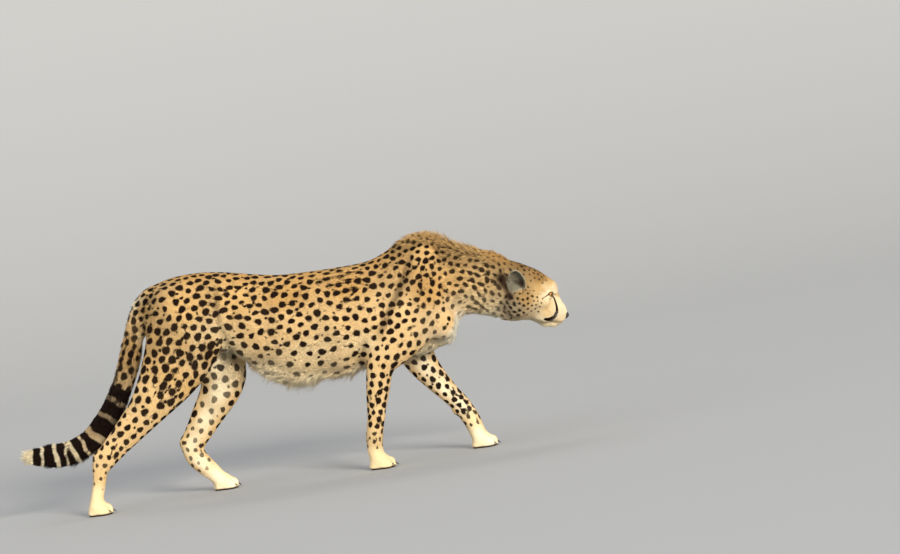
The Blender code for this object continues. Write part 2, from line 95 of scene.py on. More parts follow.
def mix(a: Array, b: Array, share: Array) -> Array:
    """a where share is 0 and b where it is 1, for rows of vectors; b may be one row for all of them."""
    return a + (b - a) * share[:, None]


def nearest_on_line(points: Array, line: Array) -> tuple[Array, Array]:
    """Finds how far each point is from a bent line.

    Each leg of the line is p + t w, and t = (point - p).w / w.w, held between 0 and 1.

    Args:
        points: rows of x, y, z.
        line: the line's corners, rows of x, y, z.

    Returns:
        The distance of each point and the fraction of the line's length at its nearest place.
    """
    line = np.asarray(line, float)
    ways = np.diff(line, axis=0)
    lengths = norms(ways)
    passed = np.concatenate([[0.0], np.cumsum(lengths)])
    best = np.full(len(points), 1e9)
    share = np.zeros(len(points))
    for start, way, length, before in zip(line[:-1], ways, lengths, passed):
        t = np.clip((points - start) @ way / length**2, 0.0, 1.0)
        away = norms(points - start - t[:, None] * way)
        closer = away < best
        best = np.where(closer, away, best)
        share = np.where(closer, (before + t * length) / passed[-1], share)
    return best, share


def waves(points: Array, scale: float, seed: int) -> Array:
    """Smooth noise from -1 to 1: the mean of six sine waves of random direction over the points."""
    rng = np.random.default_rng(seed)
    ways = unit(rng.normal(size=(6, 3))) * rng.uniform(0.7, 1.5, (6, 1))
    phases = rng.uniform(0, 2 * math.pi, 6)
    return np.sin(points @ ways.T * (2 * math.pi / scale) + phases).mean(axis=1) * 1.6


# ---- meshes as arrays


@dataclass
class Surface:
    """A triangle mesh held as arrays."""

    points: Array
    faces: Array

    def normals(self) -> Array:
        """The area-weighted mean of the faces' normals at each point."""
        a, b, c = (self.points[self.faces[:, i]] for i in range(3))
        crosses = np.cross(b - a, c - a)
        return unit(sum(summed(self.faces[:, corner], crosses, len(self.points)) for corner in range(3)))

    def areas(self) -> Array:
        """The area of each triangle, half the length of its edges' cross product."""
        a, b, c = (self.points[self.faces[:, i]] for i in range(3))
        return norms(np.cross(b - a, c - a)) / 2

    def edges(self) -> Array:
        """Each edge once, as a pair of point numbers."""
        pairs = np.concatenate([self.faces[:, [0, 1]], self.faces[:, [1, 2]], self.faces[:, [2, 0]]])
        pairs.sort(axis=1)
        keys = np.unique(pairs[:, 0].astype(np.int64) * len(self.points) + pairs[:, 1])
        return np.column_stack([keys // len(self.points), keys % len(self.points)])

    def soften(self, rounds: int, weight: Array | float = 1.0) -> None:
        """Smooths the surface in pairs of steps, one towards the neighbours' mean and one back.

        Args:
            rounds: how many pairs of steps.
            weight: 0 to 1 for each point.
        """
        total = len(self.points)
        low, high = self.edges().T
        count = np.bincount(np.append(low, high), minlength=total)[:, None].clip(1)
        weight = np.broadcast_to(np.asarray(weight, float), (total,))[:, None]
        for step in (0.5, SWELL) * rounds:
            mean = (summed(low, self.points[high], total) + summed(high, self.points[low], total)) / count
            self.points = self.points + weight * step * (mean - self.points)

    def refine(self, chosen: Array, longer: float = 0.0) -> None:
        """Splits each chosen triangle in four, and its neighbours in two or three to match.

        Args:
            chosen: True for each triangle to split.
            longer: only edges longer than this are cut.
        """
        faces = self.faces
        total = len(self.points)
        corners = np.stack([faces, np.roll(faces, -1, axis=1)], axis=2)
        low, high = corners.min(axis=2).astype(np.int64), corners.max(axis=2)
        keys, which = np.unique((low * total + high).ravel(), return_inverse=True)
        which = which.reshape(-1, 3)
        split = np.zeros(len(keys), bool)
        split[which[chosen].ravel()] = True
        split &= norms(self.points[keys // total] - self.points[keys % total]) > longer
        middle = np.full(len(keys), -1)
        middle[split] = total + np.arange(split.sum())
        ends = keys[split]
        self.points = np.vstack([self.points, (self.points[ends // total] + self.points[ends % total]) / 2])
        cuts = split[which]
        count = cuts.sum(axis=1)
        made = [faces[count == 0]]
        for turn in range(3):  # one cut edge: turned so that it is the first
            some = (count == 1) & cuts[:, turn]
            a, b, c = (faces[some, (turn + i) % 3] for i in range(3))
            m = middle[which[some, turn]]
            made += [np.column_stack([a, m, c]), np.column_stack([m, b, c])]
        for turn in range(3):  # two cut edges: turned so that the last is whole
            some = (count == 2) & ~cuts[:, (turn + 2) % 3]
            a, b, c = (faces[some, (turn + i) % 3] for i in range(3))
            m, n = middle[which[some, turn]], middle[which[some, (turn + 1) % 3]]
            made += [np.column_stack(rows) for rows in ((m, b, n), (a, m, n), (a, n, c))]
        some = count == 3
        a, b, c = faces[some].T
        m, n, o = middle[which[some]].T
        made += [np.column_stack(rows) for rows in ((a, m, o), (m, b, n), (o, n, c), (m, n, o))]
        self.faces = np.vstack(made)

    def joined(self, *others: "Surface") -> "Surface":
        """This surface and others as one, still loose from each other."""
        points, faces, total = [self.points], [self.faces], len(self.points)
        for other in others:
            points.append(other.points)
            faces.append(other.faces + total)
            total += len(other.points)
        return Surface(np.vstack(points), np.vstack(faces))


def grid(points: Array, closed_across: bool = True) -> Surface:
    """Triangles over a grid of points.

    Args:
        points: rows x columns x 3.
        closed_across: whether each row runs round to its start.

    Returns:
        The surface, which faces out where rows run up and columns run anticlockwise seen from above.
    """
    rows, columns = points.shape[:2]
    number = np.arange(rows * columns).reshape(rows, columns)
    if closed_across:
        number = np.column_stack([number, number[:, 0]])
    a, b = number[:-1, :-1].ravel(), number[:-1, 1:].ravel()
    c, d = number[1:, 1:].ravel(), number[1:, :-1].ravel()
    faces = np.vstack([np.column_stack([a, b, c]), np.column_stack([a, c, d])])
    return Surface(points.reshape(-1, 3).astype(float), faces)


def capped(points: Array) -> Surface:
    """A grid of closed rings whose two ends are closed by a fan to the middle of the end ring."""
    tube = grid(points)
    rows, columns = points.shape[:2]
    total = len(tube.points)
    ring = np.arange(columns)
    after = np.roll(ring, -1)
    last = (rows - 1) * columns
    foot = np.column_stack([after, ring, np.full(columns, total)])
    top = np.column_stack([last + ring, last + after, np.full(columns, total + 1)])
    middles = np.vstack([points[0].mean(axis=0), points[-1].mean(axis=0)])
    return Surface(np.vstack([tube.points, middles]), np.vstack([tube.faces, foot, top]))


def outwards(surface: Surface) -> Surface:
    """The same closed surface, turned inside out if its signed volume is negative."""
    a, b, c = (surface.points[surface.faces[:, i]] - surface.points[0] for i in range(3))
    volume = (np.cross(a, b) * c).sum()
    return surface if volume > 0 else Surface(surface.points, surface.faces[:, ::-1])


def tubes(paths: Array, radii: Array, across: Array, sides: int) -> Surface:
    """Closed round tubes along paths, as one surface.

    Each ring is its path's point + radius (side cos a + up sin a), with side as near to across as it can
    be and up square to the path and to side.

    Args:
        paths: tubes x stations x 3.
        radii: tubes x stations.
        across: a direction for each tube that isn't along it.
        sides: corners in a ring.

    Returns:
        All the tubes.
    """
    way = unit(np.gradient(paths, axis=1))
    across = np.broadcast_to(across[:, None], way.shape)
    side = unit(across - (across * way).sum(axis=2, keepdims=True) * way)
    up = np.cross(way, side)
    angle = np.linspace(0, 2 * math.pi, sides, endpoint=False)[:, None]
    ring = side[:, :, None] * np.cos(angle) + up[:, :, None] * np.sin(angle)
    rings = paths[:, :, None] + radii[:, :, None, None] * ring
    made = [capped(each) for each in rings]
    return made[0].joined(*made[1:])


def make_object(name: str, surface: Surface, material: bpy.types.Material) -> bpy.types.Object:
    """Puts a surface into a smooth-shaded object at the origin.

    Args:
        name: the piece's name.
        surface: its points and triangles.
        material: its finish.

    Returns:
        The new object, linked to the scene.
    """
    mesh = bpy.data.meshes.new(name)
    mesh.vertices.add(len(surface.points))
    mesh.vertices.foreach_set("co", surface.points.astype(np.float32).ravel())
    mesh.loops.add(surface.faces.size)
    mesh.loops.foreach_set("vertex_index", surface.faces.astype(np.int32).ravel())
    mesh.polygons.add(len(surface.faces))
    mesh.polygons.foreach_set("loop_start", np.arange(0, surface.faces.size, 3, dtype=np.int32))
    mesh.update(calc_edges=True)
    mesh.materials.append(material)
    mesh.shade_smooth()
    made = bpy.data.objects.new(name, mesh)
    bpy.context.scene.collection.objects.link(made)
    return made


def give_attribute(obj: bpy.types.Object, name: str, values: Array) -> None:
    """Stores a number or a colour at each point of a mesh.

    Args:
        obj: the piece.
        name: the attribute's name, which its material reads.
        values: one number for each point, or one row of red, green and blue.
    """
    if values.ndim == 1:
        obj.data.attributes.new(name, "FLOAT", "POINT").data.foreach_set("value", values.astype(np.float32))
        return
    colours = np.column_stack([values, np.ones(len(values))]).astype(np.float32)
    obj.data.attributes.new(name, "FLOAT_COLOR", "POINT").data.foreach_set("color", colours.ravel())


def give_map(obj: bpy.types.Object, name: str, places: Array) -> None:
    """Gives a mesh a UV map from one place for each point."""
    corner = np.zeros(len(obj.data.loops), np.int32)
    obj.data.loops.foreach_get("vertex_index", corner)
    layer = obj.data.uv_layers.new(name=name)
    layer.data.foreach_set("uv", places[corner].astype(np.float32).ravel())


def read_surface(obj: bpy.types.Object) -> Surface:
    """The triangles of an object as its modifiers leave them, with points at one place merged."""
    graph = bpy.context.evaluated_depsgraph_get()
    mesh = obj.evaluated_get(graph).to_mesh()
    mesh.calc_loop_triangles()
    points = np.zeros(len(mesh.vertices) * 3, np.float32)
    mesh.vertices.foreach_get("co", points)
    faces = np.zeros(len(mesh.loop_triangles) * 3, np.int32)
    mesh.loop_triangles.foreach_get("vertices", faces)
    rounded = np.round(points.reshape(-1, 3) / 2e-6).astype(np.int64)
    _, first, merged = np.unique(rounded, axis=0, return_index=True, return_inverse=True)
    faces = merged.reshape(-1)[faces].reshape(-1, 3)
    whole = (faces[:, 0] != faces[:, 1]) & (faces[:, 1] != faces[:, 2]) & (faces[:, 2] != faces[:, 0])
    return Surface(points.reshape(-1, 3)[first].astype(float), faces[whole])


# ---- frames and centre lines


class Frame:
    """A frame in the world, whose y may be counted the other way round."""

    flip = 1.0

    def matrix(self) -> Matrix:
        """The frame as a 4 x 4 matrix into the world."""
        raise NotImplementedError

    def to_world(self, points: Array) -> Array:
        """Places in the frame, turned into the world."""
        matrix = np.array(self.matrix())
        return np.asarray(points, float) * [1.0, self.flip, 1.0] @ matrix[:3, :3].T + matrix[:3, 3]

    def from_world(self, points: Array) -> Array:
        """Places in the world, turned into the frame."""
        matrix = np.array(self.matrix())
        return (points - matrix[:3, 3]) @ matrix[:3, :3] * [1.0, self.flip, 1.0]

    def turn_from_world(self, vectors: Array) -> Array:
        """Directions in the world, turned into the frame."""
        return vectors @ np.array(self.matrix())[:3, :3] * [1.0, self.flip, 1.0]

    def turn_to_world(self, vectors: Array) -> Array:
        """Directions in the frame, turned into the world."""
        return np.asarray(vectors, float) * [1.0, self.flip, 1.0] @ np.array(self.matrix())[:3, :3].T


@dataclass(frozen=True)
class HeadFrame(Frame):
    """A frame at the nose tip, +X to the nose, +Y to the left and +Z up; by default along the crown."""

    tip: Triple = (0.8275, 0.050, 0.353)
    pitch: float = math.radians(37.4)
    yaw: float = math.radians(15.0)

    def matrix(self) -> Matrix:
        """The frame as a 4 x 4 matrix into the world."""
        turn = Matrix.Rotation(self.yaw, 4, "Z") @ Matrix.Rotation(self.pitch, 4, "Y")
        return Matrix.Translation(Vector(self.tip)) @ turn


class Side(Enum):
    """The two sides of the animal, by the sign of their y."""

    RIGHT = -1
    LEFT = 1

    @property
    def label(self) -> str:
        """The side's name in lower case."""
        return self.name.lower()


HEAD = HeadFrame()
FACE = HeadFrame(pitch=math.radians(15.0))  # level with the mouth, for the features of the face


@dataclass(frozen=True)
class Ear(Frame):
    """One ear: an oval cup, laid back and out to the side, its hollow facing outwards.

    Its own frame has x across the ear, z from root to tip, and the hollow open towards the head's side.
    """

    side: Side
    across: float = 0.0255
    along: float = 0.0425
    deep: float = 0.0205
    wall: float = 0.0046
    rim: float = 0.0036
    place: Triple = (-0.199, 0.076, 0.000)
    lean: float = math.radians(-48)
    flare: float = math.radians(-22)
    twist: float = math.radians(5)

    @property
    def flip(self) -> float:
        """The side's sign, so that y always runs towards the opening."""
        return self.side.value

    def matrix(self) -> Matrix:
        """The ear's frame as a 4 x 4 matrix into the world."""
        back, out, up = self.place
        turn = (
            Matrix.Rotation(self.flip * self.flare, 4, "X")
            @ Matrix.Rotation(self.lean, 4, "Y")
            @ Matrix.Rotation(self.flip * self.twist, 4, "Z")
        )
        return HEAD.matrix() @ Matrix.Translation((back, self.flip * out, up)) @ turn

    def cup(self) -> Surface:
        """The ear's shell.

        An ellipsoid's rings run from its back pole to the rim and, a wall's thickness further in, back
        again; each ring is (across cos u sin v, -deep cos v, along sin u sin v).  The rim waves a little
        and the foot of the cup is narrower than its tip.
        """
        last = math.acos(-self.rim / self.deep)
        v = np.linspace(0.12, last, 14)
        u = np.linspace(0, 2 * math.pi, 40, endpoint=False)
        rings = []
        for inset, order in ((0.0, slice(None)), (self.wall, slice(None, None, -1))):
            vv, uu = np.meshgrid(v[order], u, indexing="ij")
            x = (self.across - inset) * np.cos(uu) * np.sin(vv)
            y = -(self.deep - inset) * np.cos(vv) + 0.001 * np.sin(3 * uu) * (vv / last) ** 4
            z = (self.along - inset) * np.sin(uu) * np.sin(vv)
            x *= 1.0 - 0.30 * np.clip(-z / self.along, 0, None)
            rings.append(np.stack([x, y, z], axis=2))
        return outwards(capped(self.to_world(np.concatenate(rings))))

    def near(self, points: Array) -> Array:
        """1 on the free part of the ear and 0 away from it."""
        local = self.from_world(points)
        reach = norms(local / [self.across, self.deep, self.along])
        return ramp(reach, 1.30, 1.12) * ramp(local[:, 2], -0.030, -0.018) * ramp(local[:, 1], 0.016, 0.010)


EARS = (Ear(Side.RIGHT), Ear(Side.LEFT))


def near_ears(points: Array) -> Array:
    """1 on the free part of either ear and 0 away from both."""
    return np.clip(sum(ear.near(points) for ear in EARS), 0, 1)


FORE_TRACK = 0.067
HIND_TRACK = 0.078


@dataclass(frozen=True)
class Chain:
    """A centre line through a part of the body, in rows of x, y, z and the body's radius there."""

    name: str
    rows: Array

    def line(self) -> Array:
        """The places on the line."""
        return self.rows[:, :3]

    def radii(self) -> Array:
        """The radius at each place."""
        return self.rows[:, 3]

    def passed(self) -> tuple[Array, float]:
        """The fraction of the line's length at each of its places, and that length."""
        steps = norms(np.diff(self.line(), axis=0))
        return np.concatenate([[0.0], np.cumsum(steps)]) / steps.sum(), steps.sum()

    def between(self, share: Array | float, values: Array) -> Array:
        """One value for each of the line's places, read off at fractions of its length."""
        return np.interp(share, self.passed()[0], values)

    def along(self, share: Array | float, step: float) -> tuple[Array, Array]:
        """The place at fractions of the line's length, and the way from a step before to a step after."""
        place, ahead, behind = (
            np.stack([self.between(each, column) for column in self.line().T], axis=-1)
            for each in (share, share + step, share - step)
        )
        return place, unit(ahead - behind)

    def nearness(self, points: Array) -> tuple[Array, Array]:
        """How far each point is from the line, in radii, and the fraction of its length there."""
        away, share = nearest_on_line(points, self.line())
        return away / self.between(share, self.radii()), share


def leg(name: str, track: float, side: Side, rows: tuple[tuple[float, ...], ...]) -> Chain:
    """A leg's centre line, from millimetre rows of x, z, radius and how far outside its track it runs."""
    return Chain(name, np.array([(x, side.value * (track + out), z, r) for x, z, r, out in metres(rows)]))


def spine_rows() -> Array:
    """From the nose through the skull, the neck and the back to the root of the tail."""
    skull = metres(((-15, -12, 22), (-60, 0, 40), (-110, 4, 62), (-170, 0, 72)))
    front = [(*HEAD.to_world([[back, 0.0, up]])[0], radius) for back, up, radius in skull]
    behind = metres([
        (640, 0, 475, 80), (585, 0, 495, 85), (520, 0, 505, 95), (430, 0, 500, 115), (280, 0, 465, 150),
        (100, 0, 450, 150), (-50, 0, 480, 135), (-150, 0, 520, 110), (-250, 0, 545, 105), (-345, 0, 575, 75),
    ])  # fmt: skip
    return np.vstack([front, behind])


SPINE = Chain("spine", spine_rows())
TAIL = Chain("tail", metres((
    (-365, 0, 600, 36), (-426, 2, 545, 36), (-456, 6, 475, 35), (-483, 10, 404, 35), (-520, 14, 335, 36),
    (-565, 16, 273, 37), (-618, 16, 219, 39), (-688, 14, 190, 41), (-755, 10, 189, 38),
    (-805, 6, 195, 27), (-829, 4, 198, 15),
)))  # fmt: skip
LEGS = (
    leg("fore_right", FORE_TRACK, Side.RIGHT, (
        (405, 430, 55, 4), (300, 345, 55, 11), (258, 300, 43, 13), (241, 240, 36, 12), (221, 154, 28, 6),
        (202, 68, 27, 1), (204, 30, 27, 0), (240, 18, 25, 0),
    )),
    leg("fore_left", FORE_TRACK, Side.LEFT, (
        (430, 430, 55, 4), (385, 345, 55, 11), (377, 280, 46, 13), (404, 233, 40, 12), (474, 133, 29, 4),
        (497, 85, 28, 1), (511, 34, 27, 0), (547, 18, 25, 0),
    )),
    leg("hind_right", HIND_TRACK, Side.RIGHT, (
        (-300, 480, 85, -18), (-325, 425, 85, -10), (-363, 372, 75, -4), (-407, 322, 60, 1),
        (-503, 232, 40, 3), (-590, 156, 28, 0), (-605, 135, 25, 0), (-627, 55, 22, 0), (-636, 26, 24, 0),
        (-598, 18, 24, 0),
    )),
    leg("hind_left", HIND_TRACK, Side.LEFT, (
        (-268, 480, 85, -18), (-238, 415, 80, -10), (-214, 355, 70, -4), (-220, 305, 56, 1),
        (-276, 227, 42, 3), (-336, 150, 30, 0), (-330, 112, 30, 0), (-281, 49, 26, 0), (-266, 28, 25, 0),
        (-228, 18, 24, 0),
    )),
)  # fmt: skip
CHAINS = (SPINE, TAIL, *LEGS)
TOE_SPACING = 0.0165
PAW_REACH = 0.075  # how far from a paw's place its toes and pads can lie


def paw_places() -> list[tuple[float, float]]:
    """The x and y of each paw, in the order of the legs."""
    across = (-FORE_TRACK, FORE_TRACK, -HIND_TRACK, HIND_TRACK)
    return [(chain.rows[-1][0], y) for chain, y in zip(LEGS, across)]


def lie_of_hair(points: Array, normals: Array) -> Array:
    """The way the hair lies: back from the nose, along the body to the tail's tip, and down each leg.

    The mean of the centre lines' directions, each weighted by 1 / (distance in radii squared + 0.2)^3,
    laid flat on the skin.

    Args:
        points: places on the skin.
        normals: the skin's normals there.

    Returns:
        A unit vector for each place, square to its normal.
    """
    way = np.zeros_like(points)
    for chain in CHAINS:
        line, radii = chain.line(), chain.radii()
        for a, b, ra, rb in zip(line[:-1], line[1:], radii[:-1], radii[1:]):
            step = b - a
            t = np.clip((points - a) @ step / (step @ step), 0.0, 1.0)
            away = norms(points - a - t[:, None] * step) / (ra + (rb - ra) * t)
            weight = (away**2 + 0.2) ** -3.0 * min(1.0, np.linalg.norm(step) / 0.05)
            way += weight[:, None] * unit(step)
    way = unit(way)
    flank = np.abs(normals[:, 1]) * ramp(points[:, 0], 0.70, 0.60) * ramp(points[:, 0], -0.45, -0.38)
    way[:, 2] -= 0.22 * flank
    for ear in EARS:
        near = ear.near(points)
        way = mix(way, ear.turn_to_world([[0.0, 0.0, 1.0]]), near)
    way -= (way * normals).sum(axis=1, keepdims=True) * normals
    way += 1e-6 * np.cross(normals, [0.3, 0.2, 0.1])
    return unit(way)


# ---- the coat, tract by tract


class Tone(Enum):
    """Ground colours of the coat between its spots, as linear red, green and blue."""

    GOLD = (0.620, 0.390, 0.150)
    TAWNY = (0.540, 0.315, 0.105)
    SAND = (0.690, 0.465, 0.210)
    BUFF = (0.800, 0.610, 0.335)
    CREAM = (0.880, 0.755, 0.510)
    WHITE = (0.930, 0.885, 0.735)
    GREY = (0.190, 0.150, 0.105)
    EAR = (0.200, 0.180, 0.125)
    UMBER = (0.240, 0.135, 0.045)
    HONEY = (0.465, 0.290, 0.110)
    STRAW = (0.560, 0.395, 0.190)
    MILK = (0.500, 0.390, 0.235)


INK = np.array((0.0100, 0.0035, 0.0015))
LEATHER = np.array((0.030, 0.022, 0.018))


@dataclass(frozen=True)
class Tract:
    """What the coat is like at one named place; lengths are in millimetres.

    length, width and rise are a tuft's; depth is how far the skin lies inside the coat's tips; dense is
    tufts per square centimetre; gap and spot are the spots' spacing and radius, and dark how dark they are.
    """

    name: str
    place: Triple
    length: float
    width: float
    rise: float
    depth: float
    dense: float
    tone: Tone
    gap: float
    spot: float
    dark: float = 1.0

    def values(self) -> tuple[float, ...]:
        """The tract's sizes and its tone as one row."""
        sizes = (self.length, self.width, self.rise, self.depth, self.dense, self.gap, self.spot, self.dark)
        return (*sizes, *self.tone.value)

    def both_sides(self) -> list[Triple]:
        """The tract's place and, off the midline, its place on the other side."""
        x, y, z = metres(self.place)
        return [(x, sign * y, z) for sign in ((1, -1) if y else (1,))]


T = Tone
BODY_TRACTS = (
    Tract("withers", (430, 0, 655), 26, 2.0, 16, 8, 15, T.GOLD, 15.5, 5.4),
    Tract("mane", (500, 0, 630), 38, 2.6, 23, 10, 14, T.GOLD, 15, 5.4),
    Tract("nape", (580, 0, 597), 36, 2.6, 21, 10, 14, T.GOLD, 15, 5.8, 0.85),
    Tract("behind the ears", (650, 0, 562), 24, 2.0, 8, 7, 17, T.TAWNY, 13, 4, 0.9),
    Tract("back", (300, 0, 615), 7.6, 1.47, 1.4, 5, 23, T.TAWNY, 19.5, 8.7),
    Tract("back behind", (100, 0, 610), 6.9, 1.47, 1.3, 5, 23, T.TAWNY, 19.5, 8.5),
    Tract("loin top", (-100, 0, 635), 6.9, 1.47, 1.3, 5, 23, T.TAWNY, 18.5, 7.6),
    Tract("rump", (-250, 0, 655), 6.9, 1.47, 1.3, 5, 23, T.TAWNY, 19.5, 8.1),
    Tract("root of the tail", (-380, 0, 615), 8.3, 1.57, 1.4, 5, 23, T.GOLD, 20, 9),
    Tract("upper ribs", (200, 85, 555), 6.6, 1.42, 1.2, 5, 23, T.TAWNY, 22.5, 9.9),
    Tract("upper ribs behind", (20, 80, 560), 6.6, 1.42, 1.2, 5, 23, T.TAWNY, 22.5, 9.6),
    Tract("ribs", (200, 108, 460), 6.6, 1.42, 1.2, 5, 23, T.SAND, 23.5, 9.7),
    Tract("ribs behind", (30, 100, 460), 6.6, 1.42, 1.2, 5, 23, T.SAND, 23.5, 9.5),
    Tract("lower ribs", (220, 85, 365), 8.3, 1.57, 1.6, 6, 22, T.BUFF, 29, 9.2),
    Tract("lower ribs behind", (50, 90, 360), 9, 1.57, 1.8, 6.5, 22, T.BUFF, 30, 9.2),
    Tract("brisket", (330, 0, 295), 28, 2.4, 9, 9, 13, T.CREAM, 46, 8.0, 0.60),
    Tract("belly", (200, 0, 285), 36, 2.8, 12, 12, 12, T.CREAM, 46, 8.0, 0.50),
    Tract("belly behind", (50, 0, 278), 40, 3.2, 13, 14, 11, T.CREAM, 46, 8.5, 0.50),
    Tract("tuck", (-80, 0, 305), 38, 3.2, 12, 12, 11, T.CREAM, 46, 8.0, 0.45),
    Tract("groin", (-180, 0, 400), 19, 1.9, 5, 6, 15, T.CREAM, 46, 7.0, 0.40),
    Tract("loin", (-120, 75, 560), 6.6, 1.42, 1, 5, 23, T.GOLD, 20, 8),
    Tract("flank", (-100, 80, 450), 6.9, 1.47, 1.3, 5, 23, T.SAND, 24, 9.5),
    Tract("flank fold", (-160, 72, 400), 9, 1.57, 1.8, 5, 22, T.BUFF, 27, 9.5),
    Tract("hip", (-280, 90, 570), 6.6, 1.42, 1, 5, 23, T.GOLD, 23.5, 10.3),
    Tract("seat", (-395, 40, 500), 13, 1.47, 4.0, 5, 23, T.GOLD, 24, 11.3),
    Tract("under the tail", (-400, 0, 480), 9, 1.57, 1.6, 5, 19, T.CREAM, 46, 6.0, 0.3),
    Tract("shoulder blade", (430, 75, 600), 6.6, 1.37, 1, 4.5, 23, T.GOLD, 19, 7.9),
    Tract("shoulder", (440, 95, 500), 6.2, 1.37, 1, 4.5, 23, T.TAWNY, 20, 8.8),
    Tract("point of the shoulder", (480, 85, 400), 6.6, 1.37, 1.2, 4.5, 23, T.SAND, 20, 8.2),
    Tract("triceps", (340, 105, 420), 6.2, 1.37, 1, 4.5, 23, T.SAND, 22, 8.8),
    Tract("breast", (500, 0, 370), 26, 1.9, 7, 8, 16, T.WHITE, 46, 7.0, 0.35),
    Tract("side of the breast", (508, 55, 372), 14, 1.5, 3, 6, 18, T.WHITE, 46, 6.0, 0.2),
    Tract("armpit", (400, 0, 315), 17, 1.7, 4, 5, 15, T.CREAM, 46, 7.0, 0.4),
    Tract("neck side", (590, 68, 500), 15, 1.6, 3.4, 5, 18, T.SAND, 17, 6.5, 0.95),
    Tract("neck root", (520, 75, 520), 8.3, 1.57, 1.4, 5, 22, T.GOLD, 18.5, 7.1, 0.95),
    Tract("neck below", (560, 55, 430), 18, 1.7, 4.5, 6, 17, T.BUFF, 18, 6.6, 0.85),
    Tract("throat", (600, 0, 390), 26, 1.9, 7, 8, 16, T.CREAM, 20, 6.2, 0.75),
)
BALLS = ("eye_right", "eye_left", "nose")  # the skin runs under these too
HEAD_TRACTS = (  # in the face's frame
    Tract("nose bridge", (-22, 0, 30), 2.6, 0.60, 0.4, 1.0, 74, T.MILK, 60, 1.0, 0.0),
    Tract("between the eyes", (-40, 0, 62), 3.2, 0.65, 0.4, 1.2, 68, T.HONEY, 30, 1.4, 0.3),
    Tract("forehead", (-61, 0, 94), 3.8, 0.75, 0.6, 1.8, 56, T.HONEY, 11, 2.6, 0.8),
    Tract("crown", (-110, 0, 122), 4.8, 0.85, 1.0, 2.4, 46, T.UMBER, 11, 4.8, 1.0),
    Tract("back of the crown", (-155, 0, 138), 9, 1.1, 1.8, 3.5, 32, T.UMBER, 13, 5.0, 0.97),
    Tract("brow", (-62, 34, 74), 3.2, 0.65, 0.4, 1.0, 66, T.HONEY, 30, 1.4, 0.2),
    Tract("temple", (-98, 54, 66), 4.2, 0.75, 0.6, 1.6, 54, T.HONEY, 30, 1.6, 0.2),
    Tract("upper temple", (-105, 40, 100), 4.6, 0.80, 0.8, 2.0, 50, T.UMBER, 11.5, 3.6, 0.95),
    Tract("under the eye", (-66, 44, 26), 3.2, 0.65, 0.4, 1.0, 66, T.STRAW, 60, 1.0, 0.0),
    Tract("behind the mouth", (-78, 46, 2), 4.0, 0.70, 0.5, 1.3, 60, T.STRAW, 60, 1.0, 0.0),
    Tract("muzzle side", (-24, 26, 12), 2.8, 0.60, 0.4, 1.0, 72, T.MILK, 60, 1.0, 0.0),
    Tract("lip", (-20, 20, -18), 3.4, 0.65, 0.6, 1.0, 66, T.STRAW, 60, 1.0, 0.0),
    Tract("chin", (-43, 0, -43), 7, 0.95, 2.0, 2.4, 44, T.CREAM, 60, 1.0, 0.0),
    Tract("cheek", (-105, 62, 30), 4.8, 0.80, 0.8, 1.8, 52, T.STRAW, 8.5, 2.6, 1.0),
    Tract("cheek below", (-110, 58, 2), 6.5, 0.90, 1.4, 2.4, 44, T.MILK, 9, 3.0, 1.0),
    Tract("behind the cheek", (-150, 66, 30), 8, 1.0, 2.0, 3.0, 36, T.HONEY, 12, 4.0, 0.95),
    Tract("ruff", (-170, 62, 0), 18, 1.5, 6.0, 5.0, 24, T.MILK, 12.5, 5.2, 0.95),
    Tract("jaw", (-92, 36, -28), 9, 1.05, 2.6, 2.8, 38, T.CREAM, 40, 2.0, 0.2),
    Tract("under the jaw", (-105, 0, -40), 14, 1.3, 3.5, 4.0, 28, T.CREAM, 60, 2.0, 0.1),
)


@dataclass(frozen=True)
class LegTract:
    """A tract round a leg or the tail, at a fraction of its centre line.

    outer is its tone all round but for one side, which has inner: the inside of a leg, the top of the tail.
    """

    share: float
    length: float
    width: float
    rise: float
    depth: float
    dense: float
    outer: Tone
    inner: Tone
    gap: float
    spot: float
    dark: float = 1.0


FORE_TRACTS = (
    LegTract(0.22, 6.5, 1.32, 1.06, 4.5, 21, T.SAND, T.CREAM, 22, 8.8),
    LegTract(0.38, 6.1, 1.26, 0.98, 4.0, 23, T.SAND, T.CREAM, 22, 9),
    LegTract(0.55, 5.1, 1.2, 0.81, 3.2, 26, T.SAND, T.CREAM, 20, 8.3),
    LegTract(0.70, 4.4, 1.14, 0.74, 2.6, 29, T.SAND, T.CREAM, 17, 7.9),
    LegTract(0.82, 4.1, 1.08, 0.65, 2.0, 32, T.STRAW, T.BUFF, 14.5, 6.4, 0.95),
    LegTract(0.90, 3.3, 0.90, 0.45, 1.6, 36, T.BUFF, T.CREAM, 60, 2.2, 0.2),
    LegTract(1.00, 3, 0.90, 0.39, 1.4, 36, T.BUFF, T.CREAM, 90, 1.1, 0.0),
)
HIND_TRACTS = (
    # The top of the thigh gets the darker HONEY ground, painted shade.
    LegTract(0.05, 6.8, 1.32, 1.06, 5.0, 21, T.HONEY, T.CREAM, 22.5, 11.0),
    LegTract(0.20, 6.8, 1.32, 1.06, 4.5, 21, T.GOLD, T.CREAM, 23.5, 11.6),
    LegTract(0.36, 6.5, 1.32, 0.98, 4.0, 21, T.SAND, T.CREAM, 25, 11.2),
    LegTract(0.52, 5.7, 1.26, 0.9, 3.5, 24, T.SAND, T.CREAM, 23, 9.5),
    LegTract(0.66, 5.1, 1.2, 0.81, 2.8, 27, T.SAND, T.CREAM, 18, 7.8),
    LegTract(0.78, 4.4, 1.14, 0.74, 2.2, 30, T.SAND, T.CREAM, 17, 6.4, 0.9),
    LegTract(0.90, 3.3, 0.90, 0.45, 1.6, 36, T.BUFF, T.CREAM, 60, 2.2, 0.2),
    LegTract(1.00, 3, 0.90, 0.39, 1.4, 36, T.BUFF, T.CREAM, 90, 1.1, 0.0),
)
